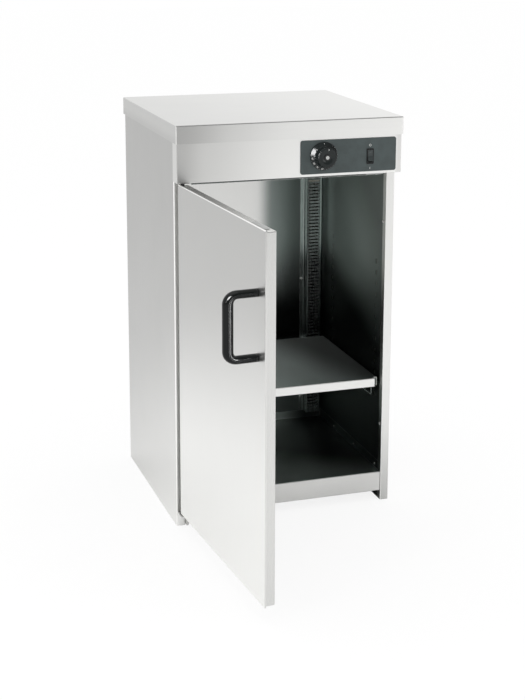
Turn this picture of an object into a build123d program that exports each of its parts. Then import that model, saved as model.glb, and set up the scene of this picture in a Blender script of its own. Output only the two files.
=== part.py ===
from build123d import *
import os

# Plate warmer cabinet: a free-standing sheet-metal cabinet with one hinged door, one lift-out shelf
# on wire supports and a slotted heater tower in the rear right corner. Millimetres, +Z up, the door
# faces -Y. The origin is the floor point under the middle of the lid.

# ---- Sheet and gaps -------------------------------------------------------------------------------
casing_sheet = 1.0        # lid, casing, fascia and door
liner_sheet = 0.8         # warm inner walls
fold_radius = 2.0         # outside radius of every fold
moving_gap = 0.3          # between pieces that move past each other
running_gap = 0.05        # round a pin or a spindle that turns
overcut = 1.0             # how far a cutting shape runs past what it cuts

# ---- Lid and casing -------------------------------------------------------------------------------
lid_width = 450.0
lid_depth = 431.0
overall_height = 790.0
lid_skirt = 34.4
side_overhang = 3.0
rear_overhang = 3.0
stile_setback = 31.7      # from the lid's front to the stiles' front
stile_width = 17.3
stile_return = 14.0
top_flange = 14.0

# ---- Fascia and control plate ---------------------------------------------------------------------
fascia_height = 105.8
fascia_side_gap = 1.8     # inside the lid's sides
fascia_setback = 3.8      # behind the lid's front
fascia_top_gap = 2.0      # under the lid's sheet
fascia_tab = 14.0         # the folded tabs that meet the stiles
fascia_tab_low = 10.8     # above the fascia's bottom edge
fascia_tab_high = 9.0     # below its top edge
fascia_screw_inset = 8.0  # from the casing's side
fascia_screw_margin = 12.0  # from the tabs' ends
control_plate_width = 194.0
control_plate_height = 64.8
control_plate_sheet = 1.5
control_plate_corner = 4.5
control_plate_inset = 12.2  # from the fascia's right side
control_plate_drop = 4.2  # below the lid's skirt

# ---- Warm compartment -----------------------------------------------------------------------------
rear_cavity = 36.5        # from the casing's back to the face of the rear liner
rear_liner_flange = 14.0
rear_liner_drop = 15.0    # below the floor's sheet
side_liner_flange = 12.0
ceiling_rise = 1.8        # above the fascia's bottom edge
ceiling_flange = 12.0
floor_top = 60.4
upstand = 17.6
kick_bottom = 19.7
kick_hem = 12.0
kick_setback = 1.1        # behind the stiles' front
kick_end_gap = 1.0
rivet_radius = 2.6
rivet_height = 1.2
rivet_round = 1.0
rivet_setback = 33.8      # of the first one behind the stiles' front
rivet_rear_gap = 91.0     # of the last one from the rear liner
rivet_count = 3
rivet_rise = 6.0          # above the floor

# ---- Shelf and its wire supports ------------------------------------------------------------------
shelf_side_gap = 4.7      # from the opening's sides
shelf_setback = 11.8      # behind the stiles' front
shelf_rear_gap = 11.0     # in front of the heater tower
shelf_lip = 17.5
shelf_corner_notch = 7.0
slot_height = 10.0
slot_width = 5.0
slot_pitch = 23.0
slot_count = 13
lowest_slot_rise = 152.6  # above the floor
front_slot_setback = 44.8  # behind the stiles' front
rear_slot_gap = 69.0      # in front of the rear liner
wire = 4.0
wire_bend = 6.0
wire_inset = 5.2          # from the opening's edge to the wire's middle
rail_rise = 26.4          # from the lower rail to the upper one
hook_reach = 4.0          # behind the liner
hook_drop = 7.0
hook_bend = 0.5           # inside radius of the hooks' bends

# ---- Heater ---------------------------------------------------------------------------------------
tower_side_gap = 7.9      # from the side liner
tower_width = 33.8
tower_depth = 20.0
tower_flange = 9.3
tower_screw_inset = 5.8   # from the tower's left side
tower_foot_gap = 0.3      # above the floor's upstand
louvre_width = 26.2
louvre_height = 3.6
louvre_pitch = 7.2
louvre_offset = 1.3       # of the louvres' middle from the tower's
louvre_margin = 12.0      # plain sheet above and below the louvres
tower_screw_low = 31.7    # above the tower's foot
tower_screw_high = 28.0   # below the ceiling
tower_screw_count = 3
element_tube = 6.5
element_spacing = 16.0
element_foot_gap = 21.7   # of its bend above the tower's foot
element_bend = 7.5
element_rise = 22.0       # above the ceiling
element_stud = 3.6
element_stud_length = 8.0
insulator_radius = 6.5
insulator_height = 10.0
insulator_chamfer = 1.0
element_bar_low = 60.0    # above the element's bend
element_bar_high = 83.0   # below the ceiling
element_bar_width = 26.0
element_bar_height = 8.0
element_bar_sheet = 3.0
element_foot_width = 10.0

# ---- Door -----------------------------------------------------------------------------------------
door_side_setback = 9.0   # inside the lid's sides
door_bottom = 30.7
door_top_gap = 2.0        # under the fascia
door_thickness = 20.0
door_angle = 86.0         # how far it stands open
door_skin_return = 3.2
pivot_inset = 6.0         # from the door's hinge edge
pivot_depth = 7.5         # from the door's outer face
pin_radius = 2.5
pin_reach = 15.0          # into the door
pin_end_gap = 2.0         # past the pin's end, in its bore
block_width = 20.0
block_height = 22.0
block_gap = 1.0           # between a block and the inner pan
block_round = 1.5
spigot_radius = 3.6
bracket_sheet = 2.5
bracket_reach = 9.0       # of the leaf beyond the pin
bracket_foot = 3.0        # the bottom bracket's lower edge
bracket_nose = 12.0       # of its web in front of the stile
nose_round = 5.0
bracket_round = 3.0
leaf_round = 8.0
bracket_web_depth = 19.0  # of its web behind the stile's front
washer_radius = 5.5
washer_thickness = 0.9
top_plate_width = 42.0
top_plate_gap = 1.0       # to the fascia's side and to the stiles
hinge_screws_z = (7.0, 15.2)
pin_head = 4.0            # radius
pin_head_height = 1.5

# ---- Door furniture -------------------------------------------------------------------------------
handle_inset = 36.0       # from the free edge
handle_drop = 164.7       # of its middle below the door's top
handle_spacing = 110.0
handle_projection = 51.0
handle_bend = 21.0
handle_leg = 14.0
handle_grip = 18.5
handle_screw = 5.0
handle_screw_depth = 16.0
screw_head = 8.0
screw_head_height = 2.2
strike_width = 60.0
strike_depth = 10.0
strike_sheet = 1.5
strike_corner = 3.0
catch_inset = 46.0        # from the door's free edge
catch_setback = 10.2      # behind the fascia's front
magnet_width = 40.0
magnet_height = 12.0
magnet_depth = 8.0
pole_width = 34.0
pole_sheet = 1.5
stop_end_gap = 14.7       # from the opening's sides
stop_flange = 7.2
stop_lip = 6.0            # below the fascia

# ---- Small screws on the walls --------------------------------------------------------------------
wall_screw_head = 6.6
wall_screw_head_height = 1.8
wall_screw = 3.8
head_round = 0.8
screw_tail = 4.0          # beyond the last sheet
wall_screw_inset = 9.4    # behind the stiles' front
wall_screw_low = 99.6     # above the floor
wall_screw_high = 103.7   # below the fascia
lid_screw_inset = 75.0    # from the lid's sides
lid_screw_drop = 18.0     # below the lid's top

# ---- Thermostat and its knob ----------------------------------------------------------------------
knob_aside = 51.0         # left of the control plate's middle
knob_rise = 1.7           # above it
knob_radius = 27.0
knob_skirt_height = 5.5
knob_bevel = 3.2
knob_hub_radius = 17.5
knob_hub_taper = 1.8
knob_height = 22.0
knob_round = 1.5
knob_recess_radius = 6.5
knob_recess_depth = 1.2
knob_wall = 4.0           # round the hollow under the skirt
knob_hollow_depth = 3.2
flute_count = 24
flute_radius = 1.5
cap_gap = 0.1             # round the cap in its recess
cap_rise = 0.3            # of the cap above the hub
cap_round = 0.5
spindle_radius = 3.0
spindle_flat = 1.0
spindle_in_knob = 15.0
spindle_in_body = 10.0
thermostat_width = 44.0
thermostat_height = 46.0
thermostat_depth = 30.0
thermostat_collar = 5.0
thermostat_corner = 4.0
thermostat_screw_reach = 6.0  # past the fascia's sheet
thermostat_screw_hole = 8.0   # deep in the body
thermostat_screw_spacing = 28.0
tab_width = 4.8
tab_thickness = 0.8
tab_length = 8.0
capillary = 1.6
bulb_radius = 3.0
bulb_length = 76.0
bulb_aside = 64.0         # left of the heater tower
bulb_rear_gap = 38.0      # from the rear liner
bulb_drop = 8.0           # below the ceiling
capillary_hole = 7.0
capillary_lead = 40.0     # straight behind the thermostat
capillary_run = 50.0      # from its second bend to the bulb
capillary_sag = 8.0       # below its start, at its second bend
capillary_fall = 22.0     # below its start, over the ceiling's hole
capillary_entry = 12.0    # of the ceiling's hole in front of the bulb
capillary_bends = (16.0, 40.0, 8.0, 5.0)
clip_width = 10.0
clip_inset = 14.0         # from the bulb's ends
clip_round = 3.3

# ---- Mains switch ---------------------------------------------------------------------------------
switch_aside = 43.7       # right of the control plate's middle
switch_drop = 3.0         # below it
bezel_side_lip = 0.8      # over the body's sides
bezel_end_lip = 1.7       # over the body's ends
bezel_sheet = 1.5
switch_body_width = 12.4
switch_body_height = 26.6
switch_body_depth = 22.0
switch_side_wall = 1.2
switch_end_wall = 1.3
window_depth = 12.0
rocker_gap = 0.3
rocker_depth = 8.4        # of its face's ends in front of the pivot
rocker_dish = 1.5
rocker_end_gap = 1.5      # between the rocker's ends and the window
rocker_heel = 0.7
rocker_tail = 3.5
axle_end_gap = 0.2
axle_socket = 0.4         # wall left outside each axle socket
bezel_corner = 1.5
rocker_tilt = 8.0
rocker_pivot_depth = 6.7  # behind the bezel's front
axle_radius = 1.2

# ---- Mains inlet ----------------------------------------------------------------------------------
gland_inset = 72.0        # from the casing's side
gland_drop = 55.0         # below the lid's top
gland_radius = 12.0
gland_thread = 8.0
gland_bore = 3.75
gland_dome = 18.0
gland_flange = 4.0
gland_nut = 5.0
gland_step = 1.5          # from the flange in to the cap
gland_barrel = 12.0       # where the cap starts to close
gland_lip = 2.0           # round the bore at the cap's end
gland_tail = 2.0          # of the thread past its nut
terminal_width = 34.0
terminal_depth = 20.0
terminal_height = 16.0
terminal_ways = 3
terminal_way_share = 0.75   # of the pitch that a raised way takes
terminal_hole_share = 0.22  # of the pitch that a screw hole's radius takes
terminal_aside = 40.0     # left of the gland
terminal_rear_gap = 45.0  # of its middle from the casing's back

# ---- What follows from them -----------------------------------------------------------------------
lid_front = -lid_depth / 2
casing_half = lid_width / 2 - side_overhang
casing_rear = lid_depth / 2 - rear_overhang
casing_top = overall_height - casing_sheet
stile_front = lid_front + stile_setback
stile_back = stile_front + casing_sheet
opening_half = casing_half - stile_width
wall_face = opening_half + casing_sheet
lid_screws_x = lid_width / 2 - lid_screw_inset
fascia_width = lid_width - 2 * fascia_side_gap
fascia_front = lid_front + fascia_setback
fascia_top = casing_top - fascia_top_gap
fascia_bottom = fascia_top - fascia_height
fascia_tab_z = (fascia_bottom + fascia_tab_low, fascia_top - fascia_tab_high)
fascia_screw_x = casing_half - fascia_screw_inset
fascia_screws_z = (fascia_tab_z[0] + fascia_screw_margin, fascia_tab_z[1] - fascia_screw_margin)
control_plate_x = (fascia_width - control_plate_width) / 2 - control_plate_inset
control_plate_z = overall_height - lid_skirt - control_plate_drop - control_plate_height / 2
plate_front = fascia_front - control_plate_sheet
ceiling_bottom = fascia_bottom + ceiling_rise
ceiling_top = ceiling_bottom + liner_sheet
kick_front = stile_front + kick_setback
return_end = stile_front + stile_return
floor_notch_end = return_end + kick_end_gap
rear_face = casing_rear - rear_cavity
rivet_front = stile_front + rivet_setback
rivet_rear = rear_face - rivet_rear_gap
tower_front = rear_face - tower_depth
tower_right = wall_face - tower_side_gap
tower_left = tower_right - tower_width
tower_bottom = floor_top + upstand + tower_foot_gap
lowest_tower_screw = tower_bottom + tower_screw_low
tower_screw_step = (ceiling_bottom - tower_screw_high - lowest_tower_screw) / (tower_screw_count - 1)
tower_screws_z = [lowest_tower_screw + n * tower_screw_step for n in range(tower_screw_count)]
element_x = (tower_left + tower_right) / 2
element_y = rear_face - tower_depth / 2
element_bottom = tower_bottom + element_foot_gap
element_bar_z = (element_bottom + element_bar_low, ceiling_bottom - element_bar_high)
shelf_width = 2 * (opening_half - shelf_side_gap)
shelf_front = stile_front + shelf_setback
shelf_depth = tower_front - shelf_rear_gap - shelf_front
wire_x = opening_half - wire_inset
lowest_slot = floor_top + lowest_slot_rise
front_slots = stile_front + front_slot_setback
rear_slots = rear_face - rear_slot_gap
lower_hook = lowest_slot - slot_height / 2 + wire / 2
upper_rail = lower_hook + rail_rise
lip_bottom = upper_rail + wire / 2 + moving_gap
shelf_top = lip_bottom + shelf_lip
wall_screws_z = (floor_top + wall_screw_low, fascia_bottom - wall_screw_high)
door_width = lid_width - 2 * door_side_setback
door_top = fascia_bottom - door_top_gap
door_height = door_top - door_bottom
door_middle = (door_top + door_bottom) / 2
pivot_x = -door_width / 2 + pivot_inset
pivot_y = fascia_front + pivot_depth
inner_pan_step = fold_radius
block_depth = door_thickness - 2 * casing_sheet - block_gap
leaf_top = door_bottom - moving_gap - washer_thickness - moving_gap
leaf_bottom = leaf_top - bracket_sheet
catch_x = door_width / 2 - catch_inset
catch_y = fascia_front + catch_setback
pole_reach = magnet_depth / 2 + pole_sheet
pole_bottom = door_top + moving_gap
stop_face = fascia_front + door_thickness + moving_gap
stop_width = 2 * (opening_half - stop_end_gap)
handle_u = door_width - pivot_inset - handle_inset
handle_middle = door_top - handle_drop
knob_x = control_plate_x - knob_aside
knob_z = control_plate_z + knob_rise
knob_hollow_radius = knob_radius - knob_wall
bulb_x = tower_left - bulb_aside
bulb_y = rear_face - bulb_rear_gap - bulb_length
bulb_z = ceiling_bottom - bulb_drop
switch_x = control_plate_x + switch_aside
switch_z = control_plate_z - switch_drop
bezel_width = switch_body_width + 2 * bezel_side_lip
bezel_height = switch_body_height + 2 * bezel_end_lip
window_width = switch_body_width - 2 * switch_side_wall
window_height = switch_body_height - 2 * switch_end_wall
rocker_half_height = window_height / 2 - rocker_end_gap
gland_x = casing_half - gland_inset
gland_z = overall_height - gland_drop


def side_screws_z(side):
    """Heights of the screws in a stile's return; the left one also holds the bottom hinge."""
    return wall_screws_z if side > 0 else wall_screws_z + hinge_screws_z


def folded_sheet(points, thickness, side):
    """Cross-section of a sheet folded along the line of its visible surface."""
    return make_face(offset(FilletPolyline(*points, radius=fold_radius), amount=thickness, side=side))


def pan(width, depth, height, thickness):
    """A tray with four folded walls: its base lies on z = 0 and it is open at the top."""
    seat = (Align.CENTER, Align.CENTER, Align.MIN)
    outer = Box(width, depth, height, align=seat)
    outer = fillet(outer.edges() - outer.faces().sort_by(Axis.Z)[-1].edges(), fold_radius)
    inner = Box(width - 2 * thickness, depth - 2 * thickness, height, align=seat)
    inner = fillet(inner.edges() - inner.faces().sort_by(Axis.Z)[-1].edges(), fold_radius - thickness)
    return outer - Pos(0, 0, thickness) * inner


def block(x, y, z):
    """A box between two corners, each axis given as a (low, high) pair."""
    size = [high - low for low, high in (x, y, z)]
    middle = [(high + low) / 2 for low, high in (x, y, z)]
    return Pos(*middle) * Box(*size)


def rod_y(x, z, radius, y_start, y_end):
    """A cylinder along Y between two values of y."""
    middle = (y_start + y_end) / 2
    return Pos(x, middle, z) * Rot(90, 0, 0) * Cylinder(radius, abs(y_end - y_start))


def rod_x(y, z, radius, x_start, x_end):
    """A cylinder along X between two values of x."""
    middle = (x_start + x_end) / 2
    return Pos(middle, y, z) * Rot(0, 90, 0) * Cylinder(radius, abs(x_end - x_start))


def rod_z(x, y, radius, z_start, z_end):
    """A cylinder along Z between two values of z."""
    return Pos(x, y, (z_start + z_end) / 2) * Cylinder(radius, abs(z_end - z_start))


def on_door(shape):
    """Turns a shape drawn on the closed door, with the pivot at x = y = 0, to where the door stands."""
    return Pos(pivot_x, pivot_y, 0) * Rot(0, 0, -door_angle) * shape


# ---- Casing ---------------------------------------------------------------------------------------
def top_cover():
    """The lid: a pan turned upside down over the casing, screwed to its back."""
    lid = Pos(0, 0, overall_height) * Rot(180, 0, 0) * pan(lid_width, lid_depth, lid_skirt, casing_sheet)
    for x in (-lid_screws_x, lid_screws_x):
        lid -= rod_y(x, overall_height - lid_screw_drop, wall_screw / 2, casing_rear, lid_depth / 2 + overcut)
    return lid


def flange_ring(z_low, width):
    """A flat flange inside the casing's sides and back, open at the front."""
    inner_half = casing_half - casing_sheet
    inner_rear = casing_rear - casing_sheet
    heights = (z_low, z_low + casing_sheet)
    ring = block((-inner_half, inner_half), (inner_rear - width, inner_rear), heights)
    for side in (-1, 1):
        across = sorted((side * (inner_half - width), side * inner_half))
        ring += block(across, (stile_back, inner_rear), heights)
    return ring


def outer_casing():
    """Both sides, the back and the two stiles, folded from one sheet that stands on its lower flange."""
    visible = [
        (opening_half, return_end),
        (opening_half, stile_front),
        (casing_half, stile_front),
        (casing_half, casing_rear),
        (-casing_half, casing_rear),
        (-casing_half, stile_front),
        (-opening_half, stile_front),
        (-opening_half, return_end),
    ]
    casing = extrude(folded_sheet(visible, casing_sheet, Side.LEFT), casing_top)
    for side in (-1, 1):
        across = sorted((side * (opening_half - overcut), side * (opening_half + fold_radius)))
        casing -= block(across, (stile_back, return_end + overcut), (ceiling_bottom, casing_top))
    casing += flange_ring(0, stile_width - casing_sheet)
    casing += flange_ring(casing_top - casing_sheet, top_flange)
    for side in (-1, 1):
        x = side * (opening_half + casing_sheet / 2)
        for z in side_screws_z(side):
            casing -= rod_x(stile_front + wall_screw_inset, z, wall_screw / 2, x - overcut, x + overcut)
        for z in fascia_screws_z:
            casing -= rod_y(side * fascia_screw_x, z, wall_screw / 2, stile_front - overcut,
                            stile_back + overcut)
        casing -= rod_y(side * lid_screws_x, overall_height - lid_screw_drop, wall_screw / 2,
                        casing_rear - casing_sheet - overcut, casing_rear + overcut)
    return casing - rod_y(gland_x, gland_z, gland_thread, casing_rear - casing_sheet - overcut,
                          casing_rear + overcut)


def controls_cutter(y_start, y_end):
    """What the controls need cut through the front: the collar's hole, two screw holes and the switch's."""
    cutter = rod_y(knob_x, knob_z, thermostat_collar, y_start, y_end)
    for side in (-1, 1):
        x = knob_x + side * thermostat_screw_spacing / 2
        cutter += rod_y(x, knob_z, wall_screw / 2, y_start, y_end)
    half_width = switch_body_width / 2
    half_height = switch_body_height / 2
    return cutter + block((switch_x - half_width, switch_x + half_width), (y_start, y_end),
                          (switch_z - half_height, switch_z + half_height))


def fascia():
    """The box-like front above the door, flush with it, that carries the controls."""
    depth = stile_front - fascia_front
    middle = (fascia_top + fascia_bottom) / 2
    shell = Rot(-90, 0, 0) * pan(fascia_width, fascia_top - fascia_bottom, depth, casing_sheet)
    shell = Pos(0, fascia_front, middle) * shell
    shell -= controls_cutter(fascia_front - overcut, fascia_front + casing_sheet + overcut)
    for side in (-1, 1):
        outer = side * (fascia_width / 2 - casing_sheet)
        tab = (stile_front - casing_sheet, stile_front)
        shell += block(sorted((outer, outer - side * fascia_tab)), tab, fascia_tab_z)
        for z in fascia_screws_z:
            shell -= rod_y(side * fascia_screw_x, z, wall_screw / 2, tab[0] - overcut, tab[1] + overcut)
    slot_y = (catch_y - pole_reach - moving_gap, catch_y + pole_reach + moving_gap)
    half = pole_width / 2 + moving_gap
    heights = (fascia_bottom - overcut, fascia_bottom + casing_sheet + overcut)
    shell -= block((catch_x - half, catch_x + half), slot_y, heights)
    return shell - rod_z(pivot_x, pivot_y, pin_radius, *heights)


def control_plate():
    """The flat plate round the knob and the switch, its corners rounded."""
    outline = RectangleRounded(control_plate_width, control_plate_height, control_plate_corner)
    plate = extrude(Plane.XZ * outline, control_plate_sheet)
    plate = Pos(control_plate_x, fascia_front, control_plate_z) * plate
    return plate - controls_cutter(plate_front - overcut, fascia_front + overcut)


# ---- Warm compartment -----------------------------------------------------------------------------
def side_liner(side):
    """An inner wall between the stile and the back, with two columns of slots for the wire supports."""
    rear = casing_rear - casing_sheet
    front = stile_front + fold_radius
    visible = [(wall_face, front), (wall_face, rear), (wall_face + side_liner_flange, rear)]
    wall = extrude(folded_sheet(visible, liner_sheet, Side.RIGHT), ceiling_bottom - casing_sheet)
    wall = Pos(0, 0, casing_sheet) * wall
    x = wall_face + liner_sheet / 2
    slot = Rot(0, 90, 0) * extrude(SlotOverall(slot_height, slot_width), liner_sheet, both=True)
    for y in (front_slots, rear_slots):
        for step in range(slot_count):
            wall -= Pos(x, y, lowest_slot + step * slot_pitch) * slot
    for z in side_screws_z(side):
        wall -= rod_x(stile_front + wall_screw_inset, z, wall_screw / 2, x - overcut, x + overcut)
    return wall if side > 0 else mirror(wall, about=Plane.YZ)


def rear_liner():
    """The inner back wall, its sides folded backwards."""
    flange_end = rear_face + rear_liner_flange
    visible = [(-wall_face, flange_end), (-wall_face, rear_face), (wall_face, rear_face),
               (wall_face, flange_end)]
    low = floor_top - rear_liner_drop
    wall = extrude(folded_sheet(visible, liner_sheet, Side.LEFT), ceiling_bottom - low)
    wall = Pos(0, 0, low) * wall
    for z in tower_screws_z:
        wall -= rod_y(tower_left - tower_screw_inset, z, wall_screw / 2, rear_face - overcut,
                      rear_face + liner_sheet + overcut)
    return wall


def ceiling_liner():
    """The tray over the compartment that carries the electrical parts."""
    width = 2 * (casing_half - casing_sheet)
    front = stile_back
    rear = casing_rear - casing_sheet
    tray = pan(width, rear - front, ceiling_flange + liner_sheet, liner_sheet)
    tray = Pos(0, (front + rear) / 2, ceiling_bottom) * tray
    for side in (-1, 1):
        tray -= rod_z(element_x + side * element_spacing / 2, element_y, element_tube / 2 + moving_gap,
                      ceiling_bottom - overcut, ceiling_top + overcut)
    return tray - rod_z(bulb_x, bulb_y - capillary_entry, capillary_hole, ceiling_bottom - overcut,
                        ceiling_top + overcut)


def floor_pan():
    """The compartment's floor: upstands on three sides, and the kick plate folded down in front."""
    upstand_face = rear_face - liner_sheet
    visible = [
        (upstand_face, floor_top + upstand),
        (upstand_face, floor_top),
        (kick_front, floor_top),
        (kick_front, kick_bottom),
        (kick_front + kick_hem, kick_bottom),
    ]
    section = Plane.YZ * folded_sheet(visible, liner_sheet, Side.LEFT)
    floor = extrude(section, wall_face, both=True)
    for side in (-1, 1):
        across = sorted((side * (wall_face - liner_sheet), side * wall_face))
        floor += block(across, (floor_notch_end, rear_face), (floor_top - liner_sheet, floor_top + upstand))
    right_end = opening_half - kick_end_gap
    left_end = -opening_half + bracket_sheet + moving_gap
    notch_y = (kick_front - overcut, floor_notch_end)
    notch_z = (kick_bottom - overcut, floor_top + overcut)
    floor -= block((right_end, wall_face + overcut), notch_y, notch_z)
    floor -= block((-wall_face - overcut, left_end), notch_y, notch_z)
    return floor


def floor_rivets():
    """Domed rivet heads that hold the floor's upstands to the side liners."""
    z = floor_top + rivet_rise
    step = (rivet_rear - rivet_front) / (rivet_count - 1)
    crown = wall_face - liner_sheet - rivet_height
    rivets = []
    for index in range(rivet_count):
        rivet = rod_x(rivet_front + index * step, z, rivet_radius, crown, crown + rivet_height)
        rivet = fillet(rivet.faces().sort_by(Axis.X)[0].edges(), rivet_round)
        rivets += [rivet.solid(), mirror(rivet, about=Plane.YZ).solid()]
    return Compound(children=rivets)


# ---- Shelf ----------------------------------------------------------------------------------------
def shelf():
    """A tray turned upside down, its front lip shorter than the shelf so that the corners are open."""
    tray = Pos(0, shelf_front + shelf_depth / 2, shelf_top) * Rot(180, 0, 0)
    tray = tray * pan(shelf_width, shelf_depth, shelf_lip, liner_sheet)
    for side in (-1, 1):
        half = shelf_width / 2
        across = sorted((side * (half - shelf_corner_notch), side * (half + overcut)))
        along = (shelf_front - overcut, shelf_front + shelf_corner_notch)
        tray -= block(across, along, (lip_bottom - overcut, shelf_top + overcut))
    return tray


def shelf_support(side):
    """A closed wire frame whose hooks drop behind the side liner, two at the front and two behind."""
    loop = Wire(FilletPolyline(
        (wire_x, front_slots, lower_hook),
        (wire_x, rear_slots, lower_hook),
        (wire_x, rear_slots, upper_rail),
        (wire_x, front_slots, upper_rail),
        radius=wire_bend, close=True).edges())
    frame = sweep((loop ^ 0) * Circle(wire / 2), path=loop)
    hook_x = wall_face + liner_sheet + hook_reach
    for y in (front_slots, rear_slots):
        for z in (lower_hook, lower_hook + slot_pitch):
            path = Wire(FilletPolyline((wire_x, y, z), (hook_x, y, z), (hook_x, y, z - hook_drop),
                                       radius=wire / 2 + hook_bend).edges())
            frame += sweep((path ^ 0) * Circle(wire / 2), path=path)
    return frame if side > 0 else mirror(frame, about=Plane.YZ)


# ---- Heater ---------------------------------------------------------------------------------------
def heater_tower_cover():
    """The louvred cover over the heating element: one sheet with a screwed flange on its left."""
    flange_face = rear_face - liner_sheet
    visible = [
        (tower_left - tower_flange, flange_face),
        (tower_left, flange_face),
        (tower_left, tower_front),
        (tower_right, tower_front),
        (tower_right, rear_face),
    ]
    cover = extrude(folded_sheet(visible, liner_sheet, Side.LEFT), ceiling_bottom - tower_bottom)
    cover = Pos(0, 0, tower_bottom) * cover
    low = tower_bottom + louvre_margin
    count = int((ceiling_bottom - louvre_margin - low) / louvre_pitch)
    louvre = Rot(90, 0, 0) * extrude(SlotOverall(louvre_width, louvre_height), liner_sheet * 2, both=True)
    louvres = [Pos(element_x - louvre_offset, tower_front, low + step * louvre_pitch) * louvre
               for step in range(count + 1)]
    cover -= louvres
    for z in tower_screws_z:
        cover -= rod_y(tower_left - tower_screw_inset, z, wall_screw / 2, flange_face - overcut,
                       rear_face + overcut)
    return cover


def heating_element():
    """A hairpin of steel tube with a connection stud on each end."""
    left = element_x - element_spacing / 2
    right = element_x + element_spacing / 2
    top = ceiling_top + element_rise
    path = Wire(FilletPolyline(
        (left, element_y, top), (left, element_y, element_bottom),
        (right, element_y, element_bottom), (right, element_y, top), radius=element_bend).edges())
    hairpin = sweep((path ^ 0) * Circle(element_tube / 2), path=path)
    for x in (left, right):
        hairpin += rod_z(x, element_y, element_stud / 2, top - overcut, top + element_stud_length)
    return hairpin


def element_insulators():
    """Ceramic collars that centre the element's ends in the ceiling."""
    collars = []
    for side in (-1, 1):
        x = element_x + side * element_spacing / 2
        collar = rod_z(x, element_y, insulator_radius, ceiling_top, ceiling_top + insulator_height)
        collar = chamfer(collar.faces().sort_by(Axis.Z)[-1].edges(), insulator_chamfer)
        collar -= rod_z(x, element_y, element_tube / 2, ceiling_top - overcut,
                        ceiling_top + insulator_height + overcut)
        collars.append(collar.solid())
    return Compound(children=collars)


def element_brackets():
    """Two drilled bars on feet that hold the element off the rear liner."""
    brackets = []
    for z in element_bar_z:
        heights = (z - element_bar_height / 2, z + element_bar_height / 2)
        half = element_bar_width / 2
        thick = (element_bar_sheet + element_tube) / 2
        bar = block((element_x - half, element_x + half), (element_y - thick, element_y + thick), heights)
        foot_half = element_foot_width / 2
        bar += block((element_x - foot_half, element_x + foot_half), (element_y, rear_face), heights)
        for side in (-1, 1):
            bar -= rod_z(element_x + side * element_spacing / 2, element_y, element_tube / 2,
                         heights[0] - overcut, heights[1] + overcut)
        brackets.append(bar.solid())
    return Compound(children=brackets)


# ---- Door -----------------------------------------------------------------------------------------
def door_outer_skin():
    """The outer face of the door, with a short return all round."""
    skin = Rot(-90, 0, 0) * pan(door_width, door_height, door_skin_return, casing_sheet)
    skin = Pos(door_width / 2 - pivot_inset, -pivot_depth, door_middle) * skin
    for side in (-1, 1):
        skin -= rod_y(handle_u, handle_middle + side * handle_spacing / 2, handle_screw / 2,
                      -pivot_depth - overcut, -pivot_depth + casing_sheet + overcut)
    return on_door(skin)


def door_inner_pan():
    """The inner face of the door, a deep pan that nests in the outer skin's return."""
    width = door_width - 2 * inner_pan_step
    height = door_height - 2 * inner_pan_step
    tray = Rot(90, 0, 0) * pan(width, height, door_thickness - casing_sheet, casing_sheet)
    tray = Pos(door_width / 2 - pivot_inset, door_thickness - pivot_depth, door_middle) * tray
    return on_door(tray - rod_z(0, 0, spigot_radius, door_bottom - overcut, door_top + overcut))


def hinge_blocks():
    """Nylon blocks in the door's corners, each with a spigot and a blind bore for its pin."""
    near = -pivot_inset + inner_pan_step + casing_sheet
    depths = (-pivot_depth + casing_sheet, -pivot_depth + casing_sheet + block_depth)
    wall = inner_pan_step + casing_sheet
    blocks = []
    for outer, inward in ((door_top, -1), (door_bottom, 1)):
        seat = outer + inward * wall
        body = block((near, near + block_width), depths, sorted((seat, seat + inward * block_height)))
        body = fillet(body.edges().filter_by(Axis.Y), block_round)
        end = outer - inward * (door_top_gap - moving_gap) if inward < 0 else outer - moving_gap
        body += rod_z(0, 0, spigot_radius, seat + inward * overcut, end)
        bore_end = outer + inward * (pin_reach + pin_end_gap)
        body -= rod_z(0, 0, pin_radius + running_gap, end - inward * overcut, bore_end)
        blocks.append(on_door(body).solid())
    return Compound(children=blocks)


def hinge_pins():
    """The fixed pins: one hangs from the fascia by its head, the other stands on the bottom bracket."""
    plate_top = fascia_bottom + casing_sheet + bracket_sheet
    top = rod_z(pivot_x, pivot_y, pin_radius, door_top - pin_reach, plate_top)
    top += rod_z(pivot_x, pivot_y, pin_head, plate_top, plate_top + pin_head_height)
    low = rod_z(pivot_x, pivot_y, pin_radius, leaf_bottom, door_bottom + pin_reach)
    return Compound(children=[top.solid(), low.solid()])


def top_hinge_plate():
    """The plate inside the fascia that stiffens it round the top pin."""
    left = -fascia_width / 2 + casing_sheet + top_plate_gap
    z = (fascia_bottom + casing_sheet, fascia_bottom + casing_sheet + bracket_sheet)
    along = (fascia_front + fold_radius, stile_front - top_plate_gap)
    plate = block((left, left + top_plate_width), along, z)
    plate = fillet(plate.edges().filter_by(Axis.Z), bracket_round)
    return plate - rod_z(pivot_x, pivot_y, pin_radius, z[0] - overcut, z[1] + overcut)


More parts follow.
